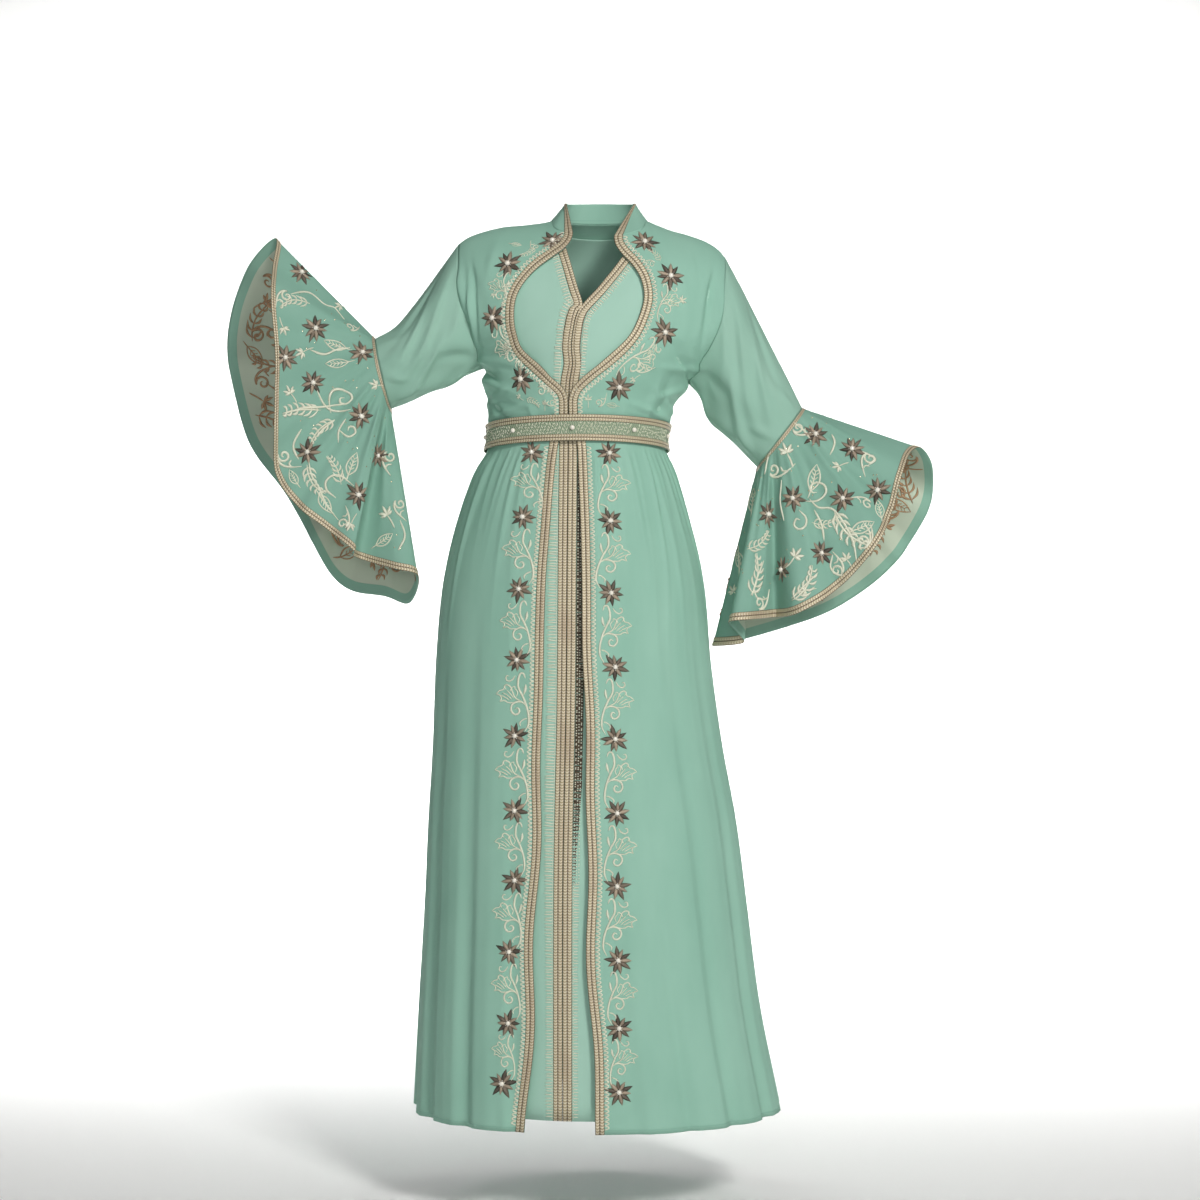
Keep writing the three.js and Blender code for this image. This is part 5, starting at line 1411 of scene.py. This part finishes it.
bodiceScrolls = {  # x, y in the photograph, kind, spin, size
    "right": [(528, 249, "fern", 125, 0.46), (535, 243, "curl", 150, 0.55), (542, 391, "curl", 20, 0.75),
              (552, 402, "curl", 200, 0.5), (533, 401, "fern", 250, 0.42), (545, 404, "sprig", 0, 0.45),
              (505, 287, "curl", 60, 0.5), (493, 292, "sprig", 170, 0.45), (505, 349, "fern", 200, 0.42),
              (515, 240, "leaf", 250, 0.5), (519, 396, "sprig", 60, 0.4)],
    "left": [(656, 252, "fern", 35, 0.46), (652, 262, "curl", 320, 0.5), (588, 400, "sprig", 0, 0.55),
             (599, 402, "curl", 200, 0.6), (612, 405, "leaf", 80, 0.5), (682, 299, "sprig", 300, 0.6),
             (670, 303, "curl", 320, 0.55), (641, 366, "curl", 140, 0.8), (652, 352, "fern", 150, 0.5),
             (634, 379, "sprig", 120, 0.5), (578, 392, "curl", 30, 0.45)],
}
bellWork = {  # by x and y in the photograph, with each motif's kind, spin and size
    "right": {
        "flowers": [
            (315, 329), (284, 357), (363, 353), (313, 384), (360, 416), (308, 452), (377, 456),
            (358, 494), (302, 273)],
        "motifs": [
            (295, 300, "fern", 95, 0.8), (286, 296, "curl", 20, 0.9), (336, 346, "leaf", 75, 1.05),
            (338, 363, "leaf", 100, 1.05), (302, 352, "sprig", 120, 0.8), (304, 412, "fern", 85, 1.0),
            (322, 430, "fern", 125, 0.85), (312, 480, "fern", 200, 0.9), (325, 503, "leaf", 215, 1.0),
            (352, 465, "leaf", 340, 1.1), (335, 470, "fern", 20, 0.8), (283, 458, "curl", 100, 1.0),
            (390, 458, "curl", 60, 0.95), (401, 505, "curl", 80, 0.9), (385, 541, "leaf", 300, 1.0),
            (340, 528, "curl", 230, 0.9), (290, 392, "sprig", 30, 0.8), (283, 330, "sprig", 200, 0.75),
            (388, 515, "sprig", 30, 1.0), (292, 478, "leaf", 30, 0.8), (350, 524, "sprig", 150, 0.8),
            (350, 326, "curl", 200, 0.8), (340, 305, "sprig", 130, 0.7), (376, 385, "sprig", 80, 0.7)],
        "stems": [
            [(346.5, 416.4), (334.4, 411.6), (324.7, 405.5), (316.2, 395.8)],
            [(346.5, 416.4), (332, 409), (307.7, 409), (290.7, 415)],
            [(334.4, 420), (324.7, 427.3), (316, 437)],
            [(331, 412), (329, 400), (333, 392), (341, 389), (349, 393), (350, 400), (345, 404),
            (340, 402), (340, 397.5), (344, 397)],
            [(347, 419), (339.3, 429.8), (338, 442)],
            [(339, 431), (347, 437), (354, 434), (353, 428), (348, 427), (347, 431)],
            [(305.3, 463.7), (310, 476), (318.6, 487), (324.7, 502.6), (334.4, 517)],
            [(336, 497), (328, 490), (327, 481), (333, 475), (342, 476), (354, 485)],
            [(349, 345), (336, 349), (324.7, 354.5), (310, 352)],
            [(288, 306), (307.7, 296), (324.7, 302), (336, 299), (347, 312)],
            [(398, 550), (404, 535), (399, 520)],
            [(300, 430), (293, 445), (296, 460)]],
    },
    "left": {
        "flowers": [
            (816, 435), (851, 449), (877, 490), (843, 497), (794, 498), (820, 554), (782, 569),
            (768, 515)],
        "motifs": [
            (800, 428, "curl", 130, 0.9), (786, 452, "sprig", 20, 1.1), (813, 478, "leaf", 345, 1.25),
            (846, 531, "fern", 215, 1.25), (862, 528, "leaf", 290, 1.15), (868, 545, "curl", 210, 1.0),
            (795, 556, "sprig", 320, 1.0), (804, 587, "fern", 320, 1.05), (757, 577, "fern", 340, 1.1),
            (760, 543, "fern", 300, 0.8), (775, 470, "curl", 150, 1.0), (752, 500, "leaf", 350, 1.1),
            (841, 574, "curl", 250, 0.95), (869, 460, "curl", 40, 1.0), (838, 466, "sprig", 120, 0.85),
            (735, 560, "leaf", 20, 1.0), (848, 562, "sprig", 30, 0.8), (888, 512, "leaf", 10, 0.9),
            (742, 612, "leaf", 80, 0.8), (728, 590, "sprig", 40, 0.8), (812, 606, "sprig", 100, 0.7),
            (866, 505, "curl", 330, 0.95), (825, 524, "fern", 270, 0.7), (760, 605, "curl", 190, 1.0)],
        "stems": [
            [(806.7, 501.5), (816.5, 508), (829.5, 508), (837.7, 516), (849, 540), (854, 565)],
            [(807, 503), (819, 501), (826, 494), (825, 486), (818, 483), (812, 487), (813, 493),
            (818, 493)],
            [(799, 509), (806, 517), (805, 525), (799, 528), (794, 524), (796, 518), (800, 519)],
            [(813, 510), (820, 524), (823, 540)],
            [(791, 599), (803.5, 586), (817, 574)],
            [(833, 557), (831, 570), (841, 577), (853, 572)],
            [(865, 522.6), (871, 534), (869, 547), (861, 548)],
            [(749.7, 597), (756, 579.7), (766, 561.7)],
            [(793.7, 421.7), (803.5, 429.8), (810, 440)],
            [(775.8, 447.7), (767.6, 457.5), (764.4, 474)],
            [(832.8, 433), (835, 443), (831, 456)],
            [(863, 451), (875, 460), (868, 466)],
            [(751, 588), (756, 597), (767, 599)],
            [(781, 480), (778, 500), (784, 520)],
            [(735, 545), (738, 575), (732, 600)]],
    },
}
motifs = {"curl": curlMotif(), "fern": fernMotif(), "leaf": leafMotif(), "sprig": sprigMotif()}


# The turn and height on the gown of places seen from the front.
def gownPlace(xz):
    return turnAt("gown", xz[..., 0], xz[..., 1]), xz[..., 1]


bellReads = {"turns": (6, 174, 120), "along": (0.05, 0.9, 60)}  # first, last and count


# The nearest place on a bell's front half to each given place, as seen from the camera.
def bellPlace(face, pixels):
    places = np.meshgrid(np.linspace(*bellReads["turns"]), np.linspace(*bellReads["along"]))
    turn, along = (part.ravel() for part in places)
    points = face(turn, along)
    scale = view["pixel"] * (1 + points[:, 1] / view["distance"])
    seen = np.stack([view["middle"] + points[:, 0] / scale,
                     view["middle"] - (points[:, 2] - view["height"]) / scale], -1)
    best = np.linalg.norm(seen[None] - np.asarray(pixels, float)[:, None], axis=-1).argmin(1)
    return turn[best], along[best]


# A line of places beside a front edge, at a distance from it, and the angle of the edge there.
def besideEdge(edge, distance, sign):
    tangent = np.gradient(edge, axis=0)
    tangent /= np.linalg.norm(tangent, axis=-1, keepdims=True)
    shifted = edge + np.stack([-tangent[:, 1], tangent[:, 0]], -1) * sign * distance
    return shifted, np.degrees(np.arctan2(tangent[:, 1], tangent[:, 0]))


# Places at an even spacing along a line, by its running length.
def evenly(line, spacing):
    run = runningLength(line)
    at = np.arange(spacing / 2, run[-1], spacing)
    return np.stack([np.interp(at, run, line[:, 0]), np.interp(at, run, line[:, 1])], -1)


# The work beside the gown's front edges: flowers, a scroll from each flower to the next, turned and
# sized by the line between them, small motifs between those of the bodice, and loops of cord.
def borderWork(petals, pearls, cream):
    for name, side in sides.items():
        border, sign, look = borders[name], side["sign"], borderLook
        pixels = np.array(border["skirt"], float)
        spots = fromPhoto(pixels, look["skirtDepth"] - (pixels[:, 1] - look["fallFrom"]) * look["fall"])
        turn, z = gownPlace(spots)
        putFlowers(petals, pearls, gownFace, turn, z, size=look["skirtFlower"])
        apart = np.diff(spots, axis=0)
        spin = np.degrees(np.arctan2(apart[:, 0], -apart[:, 1])) + chance.uniform(-2, 2, len(apart))
        size = np.linalg.norm(apart, axis=-1) / look["skirtUnit"]
        putMotif(cream, borderScroll(), gownFace, turn[:-1], z[:-1], spin=spin, size=size, mirror=sign)
        spots = fromPhoto(border["bodice"], look["bodiceDepth"])
        putFlowers(petals, pearls, gownFace, *gownPlace(spots), size=look["bodiceFlower"])
        apart = np.diff(spots, axis=0)[1:]
        spin = np.degrees(np.arctan2(apart[:, 1], apart[:, 0])) + 90
        size = np.linalg.norm(apart, axis=-1) / look["bodiceUnit"]
        putMotif(cream, borderScroll(), gownFace, *gownPlace(spots[1:-1]), spin=spin, size=size, mirror=sign)
        for x, y, kind, spin, size in bodiceScrolls[name]:
            spot = gownPlace(fromPhoto([(x, y)], look["bodiceDepth"]))
            putMotif(cream, motifs[kind], gownFace, *spot, spin=spin, size=size, mirror=sign)
        edgeLoops(cream, name, sign)


# Loops of cream cord beside the gown's edge braid, down the bodice and the skirt: each is half a
# sine that starts and ends at the braid.
def edgeLoops(cream, name, sign):
    upper = atRows(frontEdges["gown"][name], np.linspace(0, 15, 200))
    z = np.linspace(waist - 22, gownHem + 6, 300)
    lower = np.stack([skirtEdge(name, z), z], -1)
    t = np.linspace(0, np.pi, edgeLoop["points"])
    half = np.linspace(-edgeLoop["half"], edgeLoop["half"], edgeLoop["points"])
    loop = np.stack([edgeLoop["reach"] * np.sin(t) ** 0.8, half], -1)
    points, quads, cut = strand(loop, edgeLoop["width"], edgeLoop["height"])
    for edge in (upper, lower):
        line = evenly(besideEdge(edge, frontBraid + edgeLoop["gap"], sign)[0], edgeLoop["spacing"])
        angle = besideEdge(line, 0, sign)[1]
        cream.put(placeOn(gownFace, *gownPlace(line), points, spin=angle + 90 * sign), quads, cut)


# Rungs of thread beside the placket braids, from the throat to the hem: their length for each side,
# above and below the belt. Below it the left side has a brown ground under its rungs, with dots; the
# brown ground is painted shade, for the gap that the gown's front edge shades.
ladder = {"gap": 0.4, "spacing": 4.6, "right": (12.5, 16.5), "left": (9.5, 12.5), "width": 1.15,
          "height": 0.9, "points": 5, "depths": (900, 1150), "sizes": (1, 0.76), "darkTo": -1010,
          "darkDepths": (860, 1010), "darkSizes": (1, 0.3), "ground": 0.54, "groundHeight": 0.35,
          "dot": 1.15, "dots": 3, "firstDot": 2.2, "dotApart": 3.8, "dotStray": 1.8, "knot": 0.95,
          "knotFrom": 1.4, "lift": 0.3, "stray": 0.5, "tilt": 5}


# Rungs lie square to the braid at even places along it, with a little chance in place and tilt.
def ladderWork(cream, brown):
    look = ladder
    dot, knot = bead(look["dot"], look["lift"]), bead(look["knot"], look["lift"])
    for name, side in sides.items():
        sign = side["sign"]
        z = np.linspace(waist - 8, dressHem + 4, 260)
        upper = atRows(frontEdges["dress"][name], np.linspace(1.2, 11.7, 160))
        centre = np.stack([dressEdge(name, z), z], -1)
        for part, length in zip((upper, centre), look[name]):
            line = evenly(besideEdge(part, frontBraid + look["gap"], sign)[0], look["spacing"])
            line = line + chance.uniform(-look["stray"], look["stray"], line.shape) * (0, 1)
            angle = besideEdge(line, 0, sign)[1] + 90 * sign
            angle = angle + chance.uniform(-look["tilt"], look["tilt"], len(angle))
            rung = np.stack([np.linspace(0, length, look["points"]), np.zeros(look["points"])], -1)
            turn, z = turnAt("dress", line[:, 0], line[:, 1]), line[:, 1]
            # The brown ground is painted shade of the gap under the gown's front edge; it narrows lower
            # down.
            dark = (z > look["darkTo"]) & (name == "left" and part is centre)
            if dark.any():
                width = np.full(look["points"], look["spacing"] * look["ground"])
                ground = strand(rung, width, look["groundHeight"])
                fade = np.interp(-z[dark], look["darkDepths"], look["darkSizes"])
                at, tilt = (dressFace, turn[dark]), angle[dark]
                brown.put(placeOn(*at, z[dark], ground[0], spin=tilt, size=fade), *ground[1:])
                for k in range(look["dots"]):
                    stray = z[dark] + chance.uniform(-look["dotStray"], look["dotStray"], dark.sum())
                    points = dot[0] + (look["firstDot"] + look["dotApart"] * k, 0, 0)
                    cream.put(placeOn(*at, stray, points, spin=tilt), *dot[1:])
            turn, z, angle = turn[~dark], z[~dark], angle[~dark]
            size = np.interp(-z, look["depths"], look["sizes"]) * chance.uniform(0.92, 1.05, len(z))
            points, quads, cut = strand(rung, taper(look["points"], look["width"], 0.5, 0.2), look["height"])
            cream.put(placeOn(dressFace, turn, z, points, spin=angle, size=size), quads, cut)
            between = z - look["spacing"] / 2
            points = knot[0] + (look["knotFrom"], 0, 0)
            cream.put(placeOn(dressFace, turn, between, points, spin=angle), *knot[1:])


# How the work lies on the bells: the steps and ends that placeOn reads, how bold it is, the size of
# a pixel's stem in millimetres, and the reverse of the work and the sequins.
bellLook = {"reads": {"stepU": 0.5, "stepV": 0.004, "ends": (0.012, 0.965)}, "bold": 1.3, "stemScale": 1.62,
            "reverse": 44, "reverseTurns": (184, 356), "reverseSize": 1.2, "reverseGap": 0.05,
            "reverseRows": (0.82, 0.64, 0.79, 0.7),
            "reverseKinds": ("curl", "fern", "leaf", "sprig", "curl"),
            "sequins": 110, "sequin": 1.3, "sequinFlat": 0.35, "sequinsFrom": 0.08, "sequinsOver": 0.82,
            "cordFrom": 0.004, "cordTo": 0.03, "cordColumns": 120}


# The work on both bells: flowers, motifs and stems on the front half and mirrored on the rear half,
# a cord over each elbow seam, the work's reverse on the inner face, and sequins.
def bellMotifs(petals, pearls, cream, copper, sequins):
    look, cord, elbow = bellLook, bpy.data.materials["goldBraid"], []
    disc, discQuads, discCut = bead(look["sequin"], 0)
    disc = disc * (1, 1, look["sequinFlat"])
    small = look["reads"]
    for name, work in bellWork.items():
        face, sign = bellFace(name), sides[name]["sign"]
        thick = {"bold": look["bold"], "sign": sign, **small}
        turn, along = bellPlace(face, work["flowers"])
        around = np.linspace(0, 360, look["cordColumns"] + 1)[None, :-1]
        seam = face(around, np.linspace(look["cordFrom"], look["cordTo"], 5)[:, None])
        elbow.append(ringTrim("elbow_cord_" + name, seam, cord, braid["elbow"]))
        for place in ((turn, along), (360 - turn, along)):
            putFlowers(petals, pearls, face, *place, sign=sign, size=1.0, **small)
        spots = bellPlace(face, [entry[:2] for entry in work["motifs"]])
        for turn, along, (_, _, kind, spin, size) in zip(*spots, work["motifs"]):
            for place, mirror in ((turn, 1), (360 - turn, -1)):
                putMotif(cream, motifs[kind], face, place, along, spin=spin * mirror, size=size,
                         mirror=mirror, **thick)
        for stem in work["stems"]:
            middle = np.mean(stem, 0)
            corners = (np.array(stem) - middle) * (look["stemScale"], -look["stemScale"])
            line = through(corners, 5 * len(stem))
            turn, along = (part[0] for part in bellPlace(face, [middle]))
            for place, mirror in ((turn, 1), (360 - turn, -1)):
                putMotif(cream, [(line, 1.2, 1.2)], face, place, along, mirror=mirror, **thick)
        count = look["reverse"]
        turns = np.linspace(*look["reverseTurns"], count) + chance.uniform(-1.5, 1.5, count)
        for k, spot in enumerate(turns):
            kind = look["reverseKinds"][k % 5]
            putMotif(copper, motifs[kind], face, spot, look["reverseRows"][k % 4], sign=sign,
                     spin=float(chance.uniform(0, 360)), size=look["reverseSize"],
                     depth=clothWalls["bell"] + look["reverseGap"], **small)
        u, v = chance.uniform(0, 1, (look["sequins"], 2)).T
        v = look["sequinsFrom"] + v * look["sequinsOver"]
        sequins.put(placeOn(face, u * 360, v, disc, sign, **small), discQuads, discCut)
    return elbow


beltLook = {"pearls": 9, "firstPearl": -3, "pearl": 3.9, "pearlLift": 0.2, "pearlRoom": 2.6, "stitches": 620,
            "stitchHalf": 2.1, "stitchBow": 0.5, "stitchWidth": 0.75, "stitchHeight": 0.7, "rows": 4,
            "rowApart": 4.6}


# The belt: large pearls, and short pale stitches in every direction between its braids, in rows
# that leave room round the pearls.
def beltWork(pearls, cream):
    look = beltLook
    turn = np.arange(look["pearls"]) * 360.0 / look["pearls"] + look["firstPearl"]
    points, quads, cut = pearl(look["pearl"], look["pearlLift"])
    pearls.put(placeOn(beltFace, turn, 0 * turn, points), quads, cut)
    half, count = look["stitchHalf"], look["stitches"]
    bow = look["stitchBow"] * np.sin(np.linspace(0, np.pi, 5))
    path = np.stack([np.linspace(-half, half, 5), bow], -1)
    points, quads, cut = strand(path, taper(5, look["stitchWidth"]), look["stitchHeight"])
    spots = (np.arange(count) + chance.uniform(-0.4, 0.4, count)) * 360 / count
    toPearl = wrapped((spots - look["firstPearl"]) * look["pearls"]) / look["pearls"]
    keep = np.abs(toPearl) > look["pearlRoom"]
    row = np.arange(count) % look["rows"] - (look["rows"] - 1) / 2
    height = row * look["rowApart"] + chance.uniform(-1.4, 1.4, count)
    spin = chance.uniform(0, 180, keep.sum())
    cream.put(placeOn(beltFace, spots[keep], height[keep], points, spin=spin), quads, cut)


# All thread work and small trimmings, as one piece for each finish and the two elbow cords.
def makeThreadWork():
    petals, pearls, cream, rungs, copper, brown, sequins = (Bag() for _ in range(7))
    borderWork(petals, pearls, cream)
    ladderWork(rungs, brown)
    elbow = bellMotifs(petals, pearls, cream, copper, sequins)
    beltWork(pearls, cream)
    creamThread = threadMaterial("creamThread")
    return elbow + [petals.make("petals", petalMaterial()),
                    pearls.make("pearls", pearlMaterial()),
                    cream.make("cream_thread_work", creamThread),
                    rungs.make("cream_ladder", creamThread),
                    copper.make("copper_thread_reverse", threadMaterial("copperThread")),
                    # the brown ground is painted shade
                    brown.make("brown_ladder_shade", threadMaterial("brownShade")),
                    sequins.make("sequins", sequinMaterial())]


# Stage: a floor that bends up into a backdrop as a quarter circle.
def makeStage():
    s = studio
    bend = np.linspace(0, np.pi / 2, 24)
    y = np.concatenate([[s["front"]], s["back"] - s["bend"] + s["bend"] * np.sin(bend), [s["back"]]])
    z = np.concatenate([[s["floor"]], s["floor"] + s["bend"] * (1 - np.cos(bend)), [s["top"]]])
    x = np.array([-s["halfWidth"], s["halfWidth"]])
    points = np.stack(np.broadcast_arrays(x, y[:, None], z[:, None]), -1).reshape(-1, 3) / mm
    sweep = addMesh("studio_sweep", points, gridQuads(len(y), 2), points[:, :2] * mm, floorMaterial())


addCamera()
addLamps()
makeStage()
print("stage, camera and light are in place")
grids, clothPieces = makeCloth()
print("cloth:", len(clothPieces), "pieces")
braids = makeBraids(grids)
print("braids:", len(braids))
threadWork = makeThreadWork()
print("thread work:", len(threadWork), "pieces")

# Every cloth piece, braid and piece of thread work is attached to the root. The braid of each panel is
# looked up but not used.
trims = {"bodice_front": "bodice_braid", "skirt_front": "skirt_braid", "dress_front": "placket_braid",
         "bell": "bell_braid"}
for name, piece in clothPieces.items():
    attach(piece, "root")
    panel, _, side = name.rpartition("_")
    along = [braids[trims[panel] + "_" + side]] if panel in trims else []
for piece in [*braids.values(), *threadWork]:
    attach(piece, "root")
